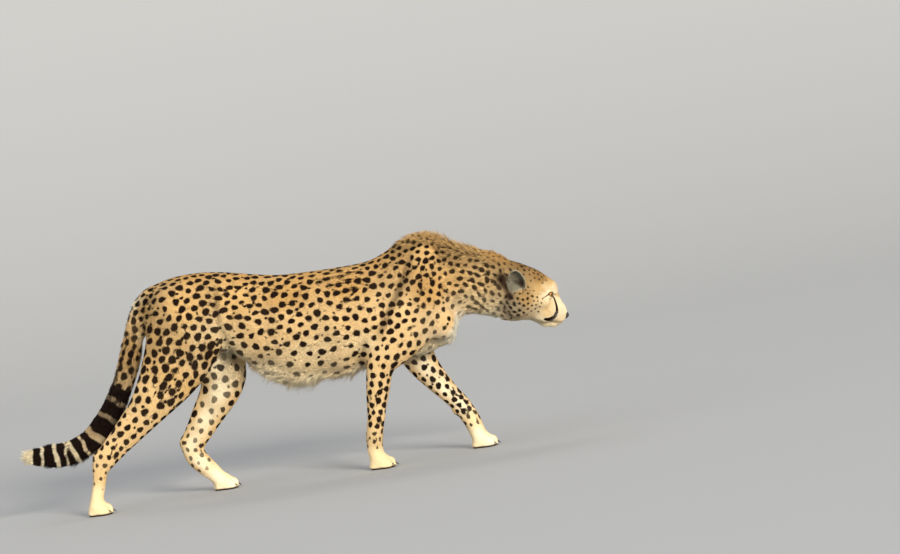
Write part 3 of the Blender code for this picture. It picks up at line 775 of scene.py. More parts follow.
TAIL_TRACTS = (
    LegTract(0.06, 14, 1.5, 4.5, 5.5, 17, T.GOLD, T.CREAM, 21, 8.8),
    LegTract(0.25, 20, 1.8, 6.8, 7.0, 17, T.GOLD, T.GOLD, 19, 9.2),
    LegTract(0.50, 23, 1.9, 7.4, 8.0, 18, T.SAND, T.SAND, 20, 11.0),
    LegTract(0.75, 22, 1.9, 6.0, 8.5, 19, T.SAND, T.SAND, 23, 11.8),
    LegTract(0.94, 17, 2.0, 5.0, 8.5, 20, T.CREAM, T.CREAM, 60, 8.0, 0.0),
    LegTract(1.00, 7.7, 2.16, 18.75, 8.5, 20, T.CREAM, T.CREAM, 60, 8.0, 0.0),
)


class CoatPlan:
    """The coat's sizes and tones anywhere on the skin, blended from its tracts."""

    soft = 0.012  # metres over which one tract runs into the next at the least

    def __init__(self) -> None:
        """Gathers the tracts of both sides into two arrays, of places and of values."""
        places, values = [], []
        for tract in BODY_TRACTS:
            for place in tract.both_sides():
                places.append(place)
                values.append(tract.values())
        for tract in HEAD_TRACTS:
            for place in tract.both_sides():
                places.append(tuple(FACE.to_world([place])[0]))
                values.append(tract.values())
        for chain in LEGS:
            for tract in FORE_TRACTS if chain.name.startswith("fore") else HIND_TRACTS:
                self._round_leg(chain, tract, places, values)
        for tract in TAIL_TRACTS:
            self._round_leg(TAIL, tract, places, values)
        self.places = np.array(places)
        self.values = np.array(values)

    @staticmethod
    def _round_leg(chain: Chain, tract: LegTract, places: list, values: list) -> None:
        """Adds a leg's or the tail's tract at four points round its centre line."""
        on_tail = chain is TAIL
        centre, way = chain.along(tract.share, 0.02)
        radius = chain.between(tract.share, chain.radii())
        side = 1.0 if on_tail else np.sign(centre[1])
        across = unit(np.cross(way, np.cross([0, 1.0, 0], way))) * side
        front = unit(np.cross(across, way)) * side
        inner, ahead = (tract.outer, tract.inner) if on_tail else (tract.inner, tract.outer)
        rounds = ((across, tract.outer), (-across, inner), (front, ahead), (-front, tract.outer))
        for number, (way_out, tone) in enumerate(rounds):
            fainter = number == 1 and chain.name.startswith("hind") and tract.share > 0.3
            gap, spot, dark = (1.35, 0.85, 0.72) if fainter else (1.0, 1.0, 1.0)
            places.append(tuple(centre + way_out * radius))
            values.append((tract.length, tract.width, tract.rise, tract.depth, tract.dense,
                           tract.gap * gap, tract.spot * spot, tract.dark * dark, *tone.value))  # fmt: skip

    def at(self, points: Array) -> dict[str, Array]:
        """The coat at each point, every tract weighted by 1 / (distance^2 + soft^2)^2.

        Args:
            points: places on or near the skin.

        Returns:
            Lengths in metres and the rest as the tracts give it, by name; "tone" is a row of three.
        """
        rows = []
        for block in np.array_split(points, max(1, len(points) // 40000)):
            square = ((block[:, None, :] - self.places) ** 2).sum(axis=2) + self.soft**2
            weight = square**-2.0
            rows.append(weight @ self.values / weight.sum(axis=1, keepdims=True))
        found = np.vstack(rows)
        names = ("length", "width", "rise", "depth", "dense", "gap", "spot", "dark")
        coat = {name: found[:, i] for i, name in enumerate(names)}
        for name in ("length", "width", "rise", "depth", "gap", "spot"):
            coat[name] = coat[name] * MM
        coat["tone"] = found[:, len(names) :]
        return coat


# ---- the skin


@dataclass(frozen=True)
class Stroke:
    """A groove or a ridge along a line on both sides of the body or head, in millimetres."""

    name: str
    line: tuple[Triple, ...]
    width: float
    height: float
    flat: bool = False  # measured in the side view only

    def lift(self, points: Array) -> Array:
        """How far the stroke raises each point, on the side of the body it lies on and on the other."""
        folded = points * [1.0, 0.0, 1.0] + np.abs(points[:, [1]]) * [0.0, 1.0, 0.0]
        seen = np.array([1.0, 0.0 if self.flat else 1.0, 1.0])
        away, share = nearest_on_line(folded * seen, metres(self.line) * seen)
        ends = np.minimum(ramp(share, 0.0, 0.12), ramp(share, 1.0, 0.88)) * 0.6 + 0.4
        width, height = metres((self.width, self.height))
        return height * bell(away, width) * ends


BODY_STROKES = (
    Stroke("behind the shoulder", ((395, 70, 600), (378, 100, 566), (340, 110, 500),
                                   (298, 112, 440), (262, 105, 385)), 10, -10, flat=True),
    Stroke("edge of the shoulder", ((408, 100, 560), (370, 110, 490), (328, 112, 430)), 15, 5, flat=True),
    Stroke("behind the elbow", ((225, 95, 372), (203, 80, 335), (196, 40, 300)), 12, -8, flat=True),
    Stroke("shoulder blade", ((455, 60, 635), (450, 100, 560), (455, 105, 470)), 24, 4),
    Stroke("front of the shoulder", ((515, 60, 560), (520, 80, 480), (505, 75, 420)), 18, -4),
    Stroke("flank fold", ((-165, 75, 350), (-175, 85, 430), (-195, 90, 520),
                          (-185, 75, 600)), 11, -5.5, flat=True),
    Stroke("flank ridge", ((-215, 90, 380), (-200, 90, 460), (-160, 80, 530)), 12, 3.5, flat=True),
    Stroke("hip hollow", ((-190, 75, 600), (-215, 90, 530)), 30, -3),
    Stroke("thigh's hind edge", ((-360, 85, 520), (-400, 90, 430)), 22, -3),
)  # fmt: skip
HEAD_STROKES = (  # in the face's frame
    Stroke("brow ridge", ((-50, 20, 70), (-66, 38, 74), (-88, 50, 68)), 6.5, 1.8),
    Stroke("inner eye hollow", ((-48, 22, 52), (-55, 30, 47)), 6, -1.8),
    Stroke("tear groove", ((-56, 30, 44), (-45, 25, 30), (-42.5, 26, 10)), 4, -1.2),
    Stroke("cheekbone", ((-66, 48, 34), (-90, 58, 40), (-118, 64, 52)), 10, 2.2),
    Stroke("mouth", ((-8, 0, -24), (-22, 14, -28), (-45, 28, -30),
                     (-62, 33, -28), (-78, 38, -24)), 2.6, -3.4, flat=True),
    Stroke("upper lip", ((-10, 14, -13), (-28, 26, -16), (-50, 32, -14)), 9, 2.6),
    Stroke("philtrum", ((2, 0, -12), (-6, 0, -24)), 2.2, -2.2),
    Stroke("forehead dip", ((-44, 0, 72), (-90, 0, 112)), 8, -1.2),
    Stroke("muzzle root", ((-36, 18, 40), (-46, 28, 20)), 7, -1),
    Stroke("end of the bridge", ((-20, 0, 24), (-2, 0, 12)), 12, 3),
    Stroke("whisker bed", ((-20, 22, 0), (-34, 27, -4)), 9, 1.6),
)  # fmt: skip


@dataclass(frozen=True)
class EyeSocket:
    """An eyeball's place in the head and the almond opening of its lids."""

    side: Side
    radius: float = 0.0158
    place: Triple = (-0.0763, 0.0330, 0.0509)  # as in the solids, in the face's frame
    gaze: Triple = (0.62, 0.78, 0.05)
    slit: Triple = (-0.76, 0.62, 0.14)  # from the inner corner to the outer one
    half_length: float = 0.0128
    half_height: float = 0.0060
    lid: float = 0.0012
    clear: float = 0.0008  # between the eyeball and the skin round the lids

    def axes(self) -> Array:
        """Rows: outwards along the gaze, along the slit to its outer corner, and up across it."""
        side = np.array([1.0, self.side.value, 1.0])
        out = unit(np.array(self.gaze) * side)
        along = np.array(self.slit) * side
        along = unit(along - (along @ out) * out)
        up = np.cross(out, along) * -self.side.value
        up = up if up[2] > 0 else -up
        return np.array([out, along, up])

    def centre(self) -> Array:
        """The eyeball's centre in the face's frame."""
        return np.array(self.place) * [1.0, self.side.value, 1.0]

    def opening(self, local: Array) -> Array:
        """How far each point lies outside the lids' opening, in metres, on the eyeball's surface.

        The opening is an almond: its half height is h (1 - (s / l)^2) with the upper lid fuller than the
        lower, where s runs along the slit.

        Args:
            local: rows of out, along and up from the eyeball's centre.

        Returns:
            Negative inside the opening.
        """
        reach = norms(local).clip(1e-6)
        along = np.arcsin(np.clip(local[:, 1] / reach, -1, 1)) * self.radius
        up = np.arcsin(np.clip(local[:, 2] / reach, -1, 1)) * self.radius
        taper = 1.0 - np.square(along / self.half_length)
        upper = self.half_height * 1.05 * taper
        lower = self.half_height * 0.80 * taper
        edge = np.where(up > 0, up - upper, -up - lower)
        behind = np.where(local[:, 0] < 0, 0.05, 0.0)
        return edge * 0.85 + behind

    def shape(self, points: Array) -> Array:
        """Moves the head's skin so that the lids wrap the eyeball and open over it.

        Near the eye each point's distance from the eyeball's centre goes towards radius + lid; inside the
        opening it drops behind the eyeball.

        Args:
            points: places in the face's frame.

        Returns:
            The moved places.
        """
        offset = points - self.centre()
        local = offset @ self.axes().T
        reach = norms(local).clip(1e-6)
        edge = self.opening(local)
        front = ramp(local[:, 0] / reach, 0.05, 0.45)
        on_lid = self.radius + self.lid
        hidden = self.radius - 0.0035
        shape = hidden + (on_lid - hidden) * ramp(edge, -0.0016, 0.0004)
        shape += 0.0009 * bell(edge - 0.0012, 0.0011)  # the lids' thick rims
        shape -= 0.0007 * bell(edge - 0.0036, 0.0012)  # the crease behind them
        near = ramp(edge, 0.0105, 0.0025) * front
        wanted = reach + (shape - reach) * near
        below = (edge > 0.0016) & (edge < 0.03)
        wanted = np.where(below, np.maximum(wanted, self.radius + self.clear), wanted)
        return self.centre() + offset * (wanted / reach)[:, None]


SOCKETS = (EyeSocket(Side.RIGHT), EyeSocket(Side.LEFT))


@dataclass
class Skin:
    """One seamless skin for all the flesh, a coat's depth inside the solids."""

    plan: CoatPlan
    voxel: float = 0.0026
    seal: float = 0.0006
    body_share: float = 0.128
    largest: float = 0.0126  # longest edge of the body's triangles
    surface: Surface = field(default=None, init=False)

    def clay(self) -> None:
        """Welds the flesh nodes and the ears' shells into one closed surface."""
        parts = []
        for name in (*FLESH, *BALLS):
            part = read_surface(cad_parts[name])
            part.points = part.points + part.normals() * self.seal
            parts.append(part)
        joined = parts[0].joined(*parts[1:], *(ear.cup() for ear in EARS))
        plain = bpy.data.materials.new("clay")
        obj = make_object("clay", joined, plain)
        weld = obj.modifiers.new("one skin", "REMESH")
        weld.mode = "VOXEL"
        weld.voxel_size = self.voxel
        welded = read_surface(obj)
        bpy.data.objects.remove(obj)
        log.info("welded skin: %d triangles", len(welded.faces))
        welded.soften(2)
        obj = make_object("clay", welded, plain)
        group = obj.vertex_groups.new(name="plain")
        group.add(np.nonzero(~self.fine(welded.points))[0].tolist(), 1.0, "REPLACE")
        thin = obj.modifiers.new("fewer faces", "DECIMATE")
        thin.ratio = self.body_share
        thin.vertex_group = "plain"
        thin.vertex_group_factor = 1.0
        self.surface = read_surface(obj)
        bpy.data.objects.remove(obj)
        bpy.data.materials.remove(plain)
        log.info("skin before its details: %d triangles", len(self.surface.faces))

    @staticmethod
    def fine(points: Array) -> Array:
        """True on the head, the ears and the paws, where the skin keeps its finest faces."""
        local = HEAD.from_world(points)
        head = (local[:, 0] > -0.20) & (points[:, 0] > 0.60)
        return head | (points[:, 2] < 0.032)

    def shape(self) -> None:
        """Smooths the body, sinks it under the coat and works folds, lids and lips into it."""
        surface = self.surface
        for _ in range(2):
            surface.refine(np.ones(len(surface.faces), bool), self.largest)
        fine = self.fine(surface.points)
        surface.soften(10, np.where(fine, 0.0, 1.0))
        surface.soften(3, np.where(fine, 1.0, 0.0))
        self._sink()
        for chosen in (self._face, self._lids_and_lips):
            surface.refine(chosen(surface.points[surface.faces].mean(axis=1)))
            surface.soften(2, ramp(HEAD.from_world(surface.points)[:, 0], -0.15, -0.12))
        self._fold(BODY_STROKES, surface.points, 1.0 - self.fine(surface.points))
        local = HEAD.from_world(surface.points)
        on_head = ramp(local[:, 0], -0.17, -0.15) * (surface.points[:, 0] > 0.6)
        self._fold(HEAD_STROKES, FACE.from_world(surface.points), on_head)
        local = FACE.from_world(surface.points)
        self._toes()
        for socket in SOCKETS:
            local = socket.shape(local)
        surface.points = np.where(on_head[:, None] > 0, FACE.to_world(local), surface.points)
        bridge = ramp(np.abs(local[:, 1]), 0.025, 0.018) * ramp(local[:, 2], 0.030, 0.037)
        surface.soften(5, bridge * on_head)
        log.info("skin: %d triangles", len(surface.faces))

    @staticmethod
    def _face(points: Array) -> Array:
        """True on the front of the head."""
        return (HEAD.from_world(points)[:, 0] > -0.078) & (points[:, 0] > 0.6)

    @staticmethod
    def _lids_and_lips(points: Array) -> Array:
        """True round the eyes and along the lips."""
        local = FACE.from_world(points)
        eyes = [norms(local - socket.centre()) < 0.0170 for socket in SOCKETS]
        lips = (local[:, 0] > -0.068) & (local[:, 2] < -0.016) & (local[:, 2] > -0.035)
        return eyes[0] | eyes[1] | (lips & (points[:, 0] > 0.7))

    def _sink(self) -> None:
        """Moves the skin inwards along its normals by the coat's depth, but not off the floor."""
        surface = self.surface
        depth = self.plan.at(surface.points)["depth"] + self.seal
        for ear in EARS:
            near = ear.near(surface.points)
            depth = depth * (1 - near) + 0.0006 * near
        sole = ramp(surface.points[:, 2], 0.004, 0.016)
        surface.points = surface.points - surface.normals() * (depth * sole)[:, None]
        surface.soften(2)
        surface.points[:, 2] = np.maximum(surface.points[:, 2], 0.0004)

    def _toes(self) -> None:
        """Cuts a groove before each gap between two toes, over the top of the paw."""
        points = self.surface.points
        lift = np.zeros(len(points))
        for x, y in paw_places():
            near = norms(points[:, :2] - [x, y]) < PAW_REACH
            for gap in (-1.0, 0.0, 1.0):
                across = y + gap * TOE_SPACING
                front = near & (np.abs(points[:, 1] - across) < 0.003) & (points[:, 2] < 0.02)
                ahead = points[front, 0].max()
                ahead_and_up = ((ahead + 0.002, 0.003), (ahead, 0.018), (ahead - 0.024, 0.036))
                line = np.array([(x, across, z) for x, z in ahead_and_up])
                away, share = nearest_on_line(points, line)
                lift -= 0.0044 * bell(away, 0.0034) * near * (1 - 0.6 * share)
        self.surface.points = points + self.surface.normals() * lift[:, None]

    def _fold(self, strokes: tuple[Stroke, ...], points: Array, weight: Array) -> None:
        """Raises or lowers the skin along its normals by each stroke's height."""
        lift = sum(stroke.lift(points) for stroke in strokes) * weight
        self.surface.points = self.surface.points + self.surface.normals() * lift[:, None]

    def build(self, markings: "Markings") -> bpy.types.Object:
        """Makes the skin's object, with its markings as attributes.

        Args:
            markings: the animal's spots and lines.

        Returns:
            The skin, which stands for every flesh node.
        """
        obj = make_object("skin", self.surface, SKIN_FINISH.material())
        found = markings.at(self.surface.points, self.surface.normals())
        for name, values in zip(("ground", "ink", "dark"), found):
            give_attribute(obj, name, values)
        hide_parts(*FLESH, "ear_right", "ear_left")
        return obj


# ---- markings


@dataclass(frozen=True)
class Line:
    """A dark line seen from either side of the head, back and up in the face's frame, in millimetres."""

    name: str
    line: tuple[tuple[float, float], ...]
    start: float  # half width at its two ends
    end: float

    def ink(self, local: Array) -> Array:
        """Positive inside the line, as 1 - distance / half width."""
        away, share = nearest_on_line(local[:, [0, 2]], metres(self.line))
        start, end = metres((self.start, self.end))
        return 1.0 - away / (start + (end - start) * share)


LINES = (
    Line("tear line", ((-61, 49), (-52, 42.5), (-45, 29), (-41, 16), (-41.5, 4), (-45, -4)), 2, 4),
    # The mouth corner's two lines are the black lips and the end of the tear line, widened to 6.8 mm with
    # painted shadow under the lip.
    Line("mouth corner", ((-42.5, 0), (-49, -12.5), (-58.5, -19.5)), 4, 6.8),
    Line("end of the mouth", ((-58.5, -19.5), (-69, -22.5), (-80, -22.5)), 6.8, 3.8),
    Line("lips", ((-8, -25), (-24, -29), (-46, -30), (-58, -26)), 0.9, 2.2),
    Line("outer corner of the eye", ((-79, 50), (-86, 45), (-96, 40.5)), 1.8, 0.9),
    Line("whisker row 1", ((-16, 3), (-34, 5)), 0.5, 0.5),
    Line("whisker row 2", ((-14, -4), (-34, -3.5)), 0.5, 0.5),
    Line("whisker row 3", ((-14, -11), (-32, -12)), 0.5, 0.5),
)  # fmt: skip

# Painted shadow of each ear on the neck behind it, partly the ear's dark fur.
EAR_SHADE = ((-243, -8), (-214, -25), (-194, -45))  # the dark patch behind each ear, in millimetres

TAIL_RINGS = (  # distance from the tail's tip to the middle of each dark ring, its half width, in millimetres
    (40, 11), (77, 16.5), (114.5, 9.5), (139, 7.5), (172.5, 12.5), (207.5, 14),
    (267, 24), (325, 20), (378, 17),
)  # fmt: skip
RINGED = 0.352  # how far from its tip the tail has rings and no spots


class Markings:
    """Ground tones, spots, tail rings and face lines, the same for the skin and for the coat."""

    def __init__(self, plan: CoatPlan, surface: Surface, seed: int = 7) -> None:
        """Scatters the spots over the skin.

        Args:
            plan: the coat's tracts, which say how large and how close the spots are.
            surface: the finished skin.
            seed: of the random draws.
        """
        self.plan = plan
        self._scatter(surface, np.random.default_rng(seed))

    def _scatter(self, surface: Surface, rng: np.random.Generator) -> None:
        """Throws spots on the skin and keeps each that is far enough from those before it."""
        count = 30000
        points, normals, _ = sample_faces(surface, surface.normals(), surface.areas(), count, rng)
        coat = self.plan.at(points)
        thinner = rng.random(count) < np.square(0.016 / coat["gap"].clip(0.008))
        wanted = (coat["dark"] > 0.12) & (points[:, 2] > 0.040) & thinner
        for ear in EARS:
            wanted &= ear.near(points) < 0.3
        points, normals = points[wanted], normals[wanted]
        gap, size, dark = (coat[name][wanted] for name in ("gap", "spot", "dark"))
        jitter = rng.uniform(0.92, 1.06, len(points))
        kept = np.zeros(0, int)
        for i in range(len(points)):
            away = norms(points[kept] - points[i])
            if not (away < np.minimum(gap[kept], gap[i]) * jitter[i]).any():
                kept = np.append(kept, i)
        main = kept
        self._spread(points, normals, gap, kept)
        for i in range(0, len(points), 3):
            away = norms(points[kept] - points[i]) / gap[i]
            if away.min() > 0.66 and gap[i] > 0.016:
                kept = np.append(kept, i)
        small = np.arange(len(kept)) >= len(main)
        self.spots, self.spot_normals = points[kept], normals[kept]
        ways = lie_of_hair(self.spots, self.spot_normals)
        x, y, z = self.spots.T
        on_neck = ramp(x, 0.50, 0.56) * ramp(x, 0.70, 0.66) * ramp(z, 0.56, 0.52)
        turn = rng.uniform(-0.5, 0.5, len(kept)) + 1.2 * on_neck * np.sign(y)
        across = np.cross(self.spot_normals, ways)
        self.along = ways * np.cos(turn)[:, None] + across * np.sin(turn)[:, None]
        self.across = np.cross(self.spot_normals, self.along)
        self.size = size[kept] * np.where(small, 0.42, 1.0) * rng.uniform(0.84, 1.14, len(kept))
        loin = bell(np.hypot(x + 0.13, z - 0.53), 0.10) + bell(np.hypot(x + 0.19, z - 0.42), 0.06)
        self.stretch = 1.0 + rng.uniform(0.0, 0.25, len(kept)) + 0.2 * loin + 0.6 * on_neck
        self.wobble = rng.uniform(0, 2 * math.pi, (2, len(kept)))
        self.spot_dark = dark[kept]
        log.info("spots: %d", len(kept))

    @staticmethod
    def _spread(points: Array, normals: Array, gap: Array, kept: Array) -> None:
        """Moves the kept spots along the skin, away from their nearest neighbours, until they lie evenly.

        Two spots closer than reach push each other by a share of 1 - distance / reach of their gap.

        Args:
            points: all the places thrown, of which the kept ones are moved.
            normals: the skin's normals there.
            gap: the spots' spacing there.
            kept: which of them are spots.
        """
        before = points.copy()
        place, up = points[kept], normals[kept]
        reach = 1.30 * np.minimum(gap[kept][:, None], gap[kept][None])
        for _ in range(9):
            offset = place[:, None] - place[None]
            away = norms(offset) + 1e-6
            push = 0.30 * gap[kept][:, None] * (1.0 - away / reach).clip(0) / away
            shift = (offset * push[:, :, None]).sum(axis=1)
            place = place + shift - (shift * up).sum(axis=1)[:, None] * up
        for i, spot in enumerate(kept):
            close = np.square(before - place[i]).sum(axis=1).argmin()
            height = (place[i] - before[close]) @ normals[close]
            points[spot] = place[i] - height * normals[close]
            up[i] = normals[close]
        normals[kept] = up

    def spot_ink(self, points: Array, normals: Array) -> tuple[Array, Array]:
        """The spots' ink at each point.

        A spot is 1 - distance / radius in the plane of the skin at its middle, and the radius wavers with
        the angle a as 1 + 0.09 sin(2a + p) + 0.07 sin(3a + q).

        Args:
            points: places on or just over the skin.
            normals: the skin's normals there.

        Returns:
            Ink, positive inside a spot, and how dark that spot is.
        """
        ink = np.full(len(points), -3.0)
        dark = np.ones(len(points))
        slab, reach = 0.03, 0.022
        for start in np.arange(points[:, 0].min(), points[:, 0].max() + slab, slab):
            end = start + slab
            here = np.nonzero((points[:, 0] >= start) & (points[:, 0] < end))[0]
            near = np.nonzero((self.spots[:, 0] > start - reach) & (self.spots[:, 0] < end + reach))[0]
            if not len(here) or not len(near):
                continue
            offset = points[here][:, None, :] - self.spots[near][None]
            u = (offset * self.along[near]).sum(axis=2) / self.stretch[near]
            v = (offset * self.across[near]).sum(axis=2)
            high = np.abs((offset * self.spot_normals[near]).sum(axis=2))
            facing = normals[here] @ self.spot_normals[near].T
            angle = np.arctan2(v, u)
            radius = 1 + 0.09 * np.sin(2 * angle + self.wobble[0, near])
            radius += 0.07 * np.sin(3 * angle + self.wobble[1, near])
            value = 1.0 - np.hypot(u, v) / (self.size[near] * radius)
            value = np.where((high < 0.025) & (facing > 0.25), value, -3.0)
            best = value.argmax(axis=1)
            ink[here] = value[np.arange(len(here)), best]
            dark[here] = self.spot_dark[near][best]
        return ink.clip(-3.0, 1.0), dark

    def at(self, points: Array, normals: Array) -> tuple[Array, Array, Array]:
        """The markings at each point.

        Args:
            points: places on or just over the skin.
            normals: the skin's normals there.

        Returns:
            The ground colour, the ink (positive inside a marking) and how dark the marking is.
        """
        ground = self.plan.at(points)["tone"] * (1.0 + 0.06 * waves(points, 0.07, 3))[:, None]
        # painted shade: the ground is darkened by up to 0.55 along the body's grooves, behind the shoulder
        # and the elbow and in the flank fold
        hollow = -sum(stroke.lift(points).clip(max=0) for stroke in BODY_STROKES) / 0.009
        ground = ground * (1 - 0.55 * hollow.clip(0, 1))[:, None]
        ink, dark = self.spot_ink(points, normals)
        ground, ink, dark = self._tail(points, ground, ink, dark)
        ground, ink, dark = self._ears(points, normals, ground, ink, dark)
        local = FACE.from_world(points)
        face = (local[:, 0] > -0.11) & (points[:, 0] > 0.65) & (points[:, 2] > 0.30)
        beside, high = np.abs(local[:, 1]), local[:, 2]
        astray = (beside < 0.017) | ((beside > 0.0262) & (high > 0.022) & (high < 0.041))
        for line in LINES:
            value = np.where(face & ~(astray & (line.name == "tear line")), line.ink(local), -3.0)
            dark = np.where(value > ink, 1.0 if line.start > 1 else 0.35, dark)
            ink = np.maximum(ink, value)
        for socket in SOCKETS:
            around = (local - socket.centre()) @ socket.axes().T
            edge = socket.opening(around)
            rim = np.where(face & (around[:, 0] > 0) & (edge < 0.02), 1.0 - edge / 0.0014, -3.0)
            dark = np.where(rim > ink, 1.0, dark)
            ink = np.maximum(ink, np.clip(rim, -3, 1))
            pale = bell(edge - 0.0055, 0.0045) * face * (around[:, 0] > 0)
            ground = mix(ground, T.CREAM.value, 0.7 * pale)
        sole = ramp(points[:, 2], 0.0075, 0.0035)
        ground = mix(ground, LEATHER, sole)
        return ground, ink.clip(-3.0, 1.0), dark

    @staticmethod
    def _tail(points: Array, ground: Array, ink: Array, dark: Array) -> tuple[Array, Array, Array]:
        """Adds the dark rings towards the tail's tip, where no spots lie."""
        near, share = TAIL.nearness(points)
        to_tip = (1.0 - share) * TAIL.passed()[1] + 0.004 * waves(points, 0.05, 11)
        on_tail = (near < 1.6) & (points[:, 0] < -0.42)
        ringed = on_tail & (to_tip < RINGED)
        ink = np.where(ringed, -3.0, ink)
        for middle, half in metres(TAIL_RINGS):
            value = np.where(on_tail, 1.0 - np.abs(to_tip - middle) / half, -3.0)
            dark = np.where(value > ink, 1.0, dark)
            ink = np.maximum(ink, np.clip(value * half / 0.010, -3, 1))
        tip = ramp(to_tip, 0.24, 0.16) * on_tail
        ground = mix(ground, T.CREAM.value, 0.8 * tip)
        dusky = ramp(to_tip, 0.20, 0.26) * ramp(to_tip, 0.44, 0.34) * on_tail
        ground = mix(ground, T.GREY.value, 0.75 * dusky)
        return ground, ink, dark

    @staticmethod
    def _ears(points: Array, normals: Array, ground: Array, ink: Array, dark: Array) -> tuple[Array, ...]:
        """Black backs with tawny rims and dusky pale hollows on the ears, painted shade deep and low in each
        cup.
        """
        for ear in EARS:
            near = ear.near(points)
            local = ear.from_world(points)
            facing = ear.turn_from_world(normals)[:, 1]
            hollow = ramp(facing, 0.0, 0.35) * near
            low = ramp(local[:, 2], 0.016, -0.010)
            # painted shade deep and low in the ear's cup, taking its ground most of the way to near black
            deep = ramp(local[:, 1], -0.004, -0.012) * hollow * (0.35 + 0.65 * low)
            back = ramp(facing, 0.1, -0.2) * near * ramp(local[:, 1], 0.0005, -0.0040)
            ground = mix(ground, T.CREAM.value, near)
            ground = mix(ground, T.EAR.value, hollow)
            ground = mix(ground, INK * 2, 0.92 * deep)
            ink = np.where(near > 0.5, -3.0, ink)
            band = back * ramp(local[:, 2], -0.024, -0.012)
            dark = np.where(band > 0.3, 0.95, dark)
            ink = np.maximum(ink, band * 2 - 1)
        # painted shadow of the ear on the neck, partly dark fur, along EAR_SHADE
        local = HEAD.from_world(points)
        away, share = nearest_on_line(local[:, [0, 2]], metres(EAR_SHADE))
        shade = ramp(away / (0.021 - 0.010 * share), 1.3, 0.35)
        shade = shade * (np.abs(local[:, 1]) > 0.035) * (np.abs(points[:, 0] - 0.66) < 0.10)
        shade = shade * (1 - near_ears(points))
        return mix(ground, INK * 2, 0.95 * shade), ink, dark


def sample_faces(
    surface: Surface, normals: Array, weights: Array, count: int, rng: np.random.Generator
) -> tuple[Array, Array, Array]:
    """Places spread evenly over a surface.

    Each place is a (1 - sqrt r) + b sqrt r (1 - s) + c sqrt r s in a triangle picked by its weight.

    Args:
        surface: the skin.
        normals: its normals at its points.
        weights: how much of the whole each triangle gets.
        count: how many places.
        rng: for the draws.

    Returns:
        The places, the normals and the number of each place's triangle.
    """
    passed = np.cumsum(weights)
    picks = (np.arange(count) + rng.random(count)) / count * passed[-1]
    face = np.searchsorted(passed, picks).clip(0, len(weights) - 1)
    r, s = np.sqrt(rng.random(count)), rng.random(count)
    shares = np.column_stack([1 - r, r * (1 - s), r * s])[:, :, None]
    corners = surface.faces[face]
    places = (surface.points[corners] * shares).sum(axis=1)
    return places, unit((normals[corners] * shares).sum(axis=1)), face


# ---- finishes


class Nodes:
    """A new material and the shader nodes that it is made of."""

    def __init__(self, name: str, inputs: dict) -> None:
        """Makes the material and sets inputs of its Principled shader."""
        self.material = bpy.data.materials.new(name)
        self.material.use_nodes = True
        self.tree = self.material.node_tree
        self.shader = self.tree.nodes["Principled BSDF"]
        self.feed(self.shader, inputs)

    def feed(self, node: bpy.types.Node, inputs: dict) -> None:
        """Sets inputs of a node, by name or number, to values or to the outputs of other nodes."""
        for key, value in inputs.items():
            if isinstance(value, bpy.types.NodeSocket):
                self.tree.links.new(value, node.inputs[key])
            else:
                node.inputs[key].default_value = value

    def add(self, kind: str, output: str, inputs: dict, **settings: object) -> bpy.types.NodeSocket:
        """Adds a node.

        Args:
            kind: its type, without the usual beginning.
            output: the name of the output that is wanted.
            inputs: as in feed.
            settings: its properties.

        Returns:
            The output.
        """
        node = self.tree.nodes.new("ShaderNode" + kind)
        for name, value in settings.items():
            setattr(node, name, value)
        self.feed(node, inputs)
        return node.outputs[output]

    def attribute(self, name: str, output: str = "Fac") -> bpy.types.NodeSocket:
        """An attribute of the mesh."""
        return self.add("Attribute", output, {}, attribute_name=name)

    def noise(self, scale: float, detail: float) -> bpy.types.NodeSocket:
        """Noise over the object's own coordinates."""
        place = self.add("TexCoord", "Object", {})
        return self.add("TexNoise", "Fac", {"Vector": place, "Scale": scale, "Detail": detail})

    def stretched(self, value: bpy.types.NodeSocket, *ends: float) -> bpy.types.NodeSocket:
        """A value taken from one range, ends 0 and 1, to another, ends 2 and 3."""
        names = ("From Min", "From Max", "To Min", "To Max")
        return self.add("MapRange", "Result", {"Value": value, **dict(zip(names, ends))})

    def mottled(self, colour: bpy.types.NodeSocket, grain: float, *ends: float) -> bpy.types.NodeSocket:
        """A colour made darker and lighter, between two multiples of itself, in grains to the metre."""
        value = self.stretched(self.noise(grain, 2.0), 0.3, 0.7, *ends)
        inputs = {"Factor": 1.0, "A": colour, "B": value}
        return self.add("Mix", "Result", inputs, data_type="RGBA", blend_type="MULTIPLY")

    def relief(self, height: bpy.types.NodeSocket, strength: float, distance: float) -> None:
        """Gives the surface fine relief."""
        inputs = {"Height": height, "Strength": strength, "Distance": distance}
        self.feed(self.shader, {"Normal": self.add("Bump", "Normal", inputs)})

    def mark(self, edge: float, grain: float) -> None:
        """Lays the ink over the ground tone with a frayed edge, and mottles the ground a little.

        Args:
            edge: how much ink makes the step from ground to full ink.
            grain: how many grains of mottling there are to a metre.
        """
        fray = self.stretched(self.noise(420.0, 3.0), 0.25, 0.75, -0.14, 0.14)
        frayed = self.add("Math", "Value", {0: self.attribute("ink"), 1: fray}, operation="ADD")
        step = self.stretched(frayed, -edge, edge)
        covered = self.add("Math", "Value", {0: step, 1: self.attribute("dark")}, operation="MULTIPLY")
        ground = self.mottled(self.attribute("ground", "Color"), grain, 0.84, 1.12)
        inputs = {"Factor": covered, "A": ground, "B": (*INK, 1.0)}
        self.feed(self.shader, {"Base Color": self.add("Mix", "Result", inputs, data_type="RGBA")})


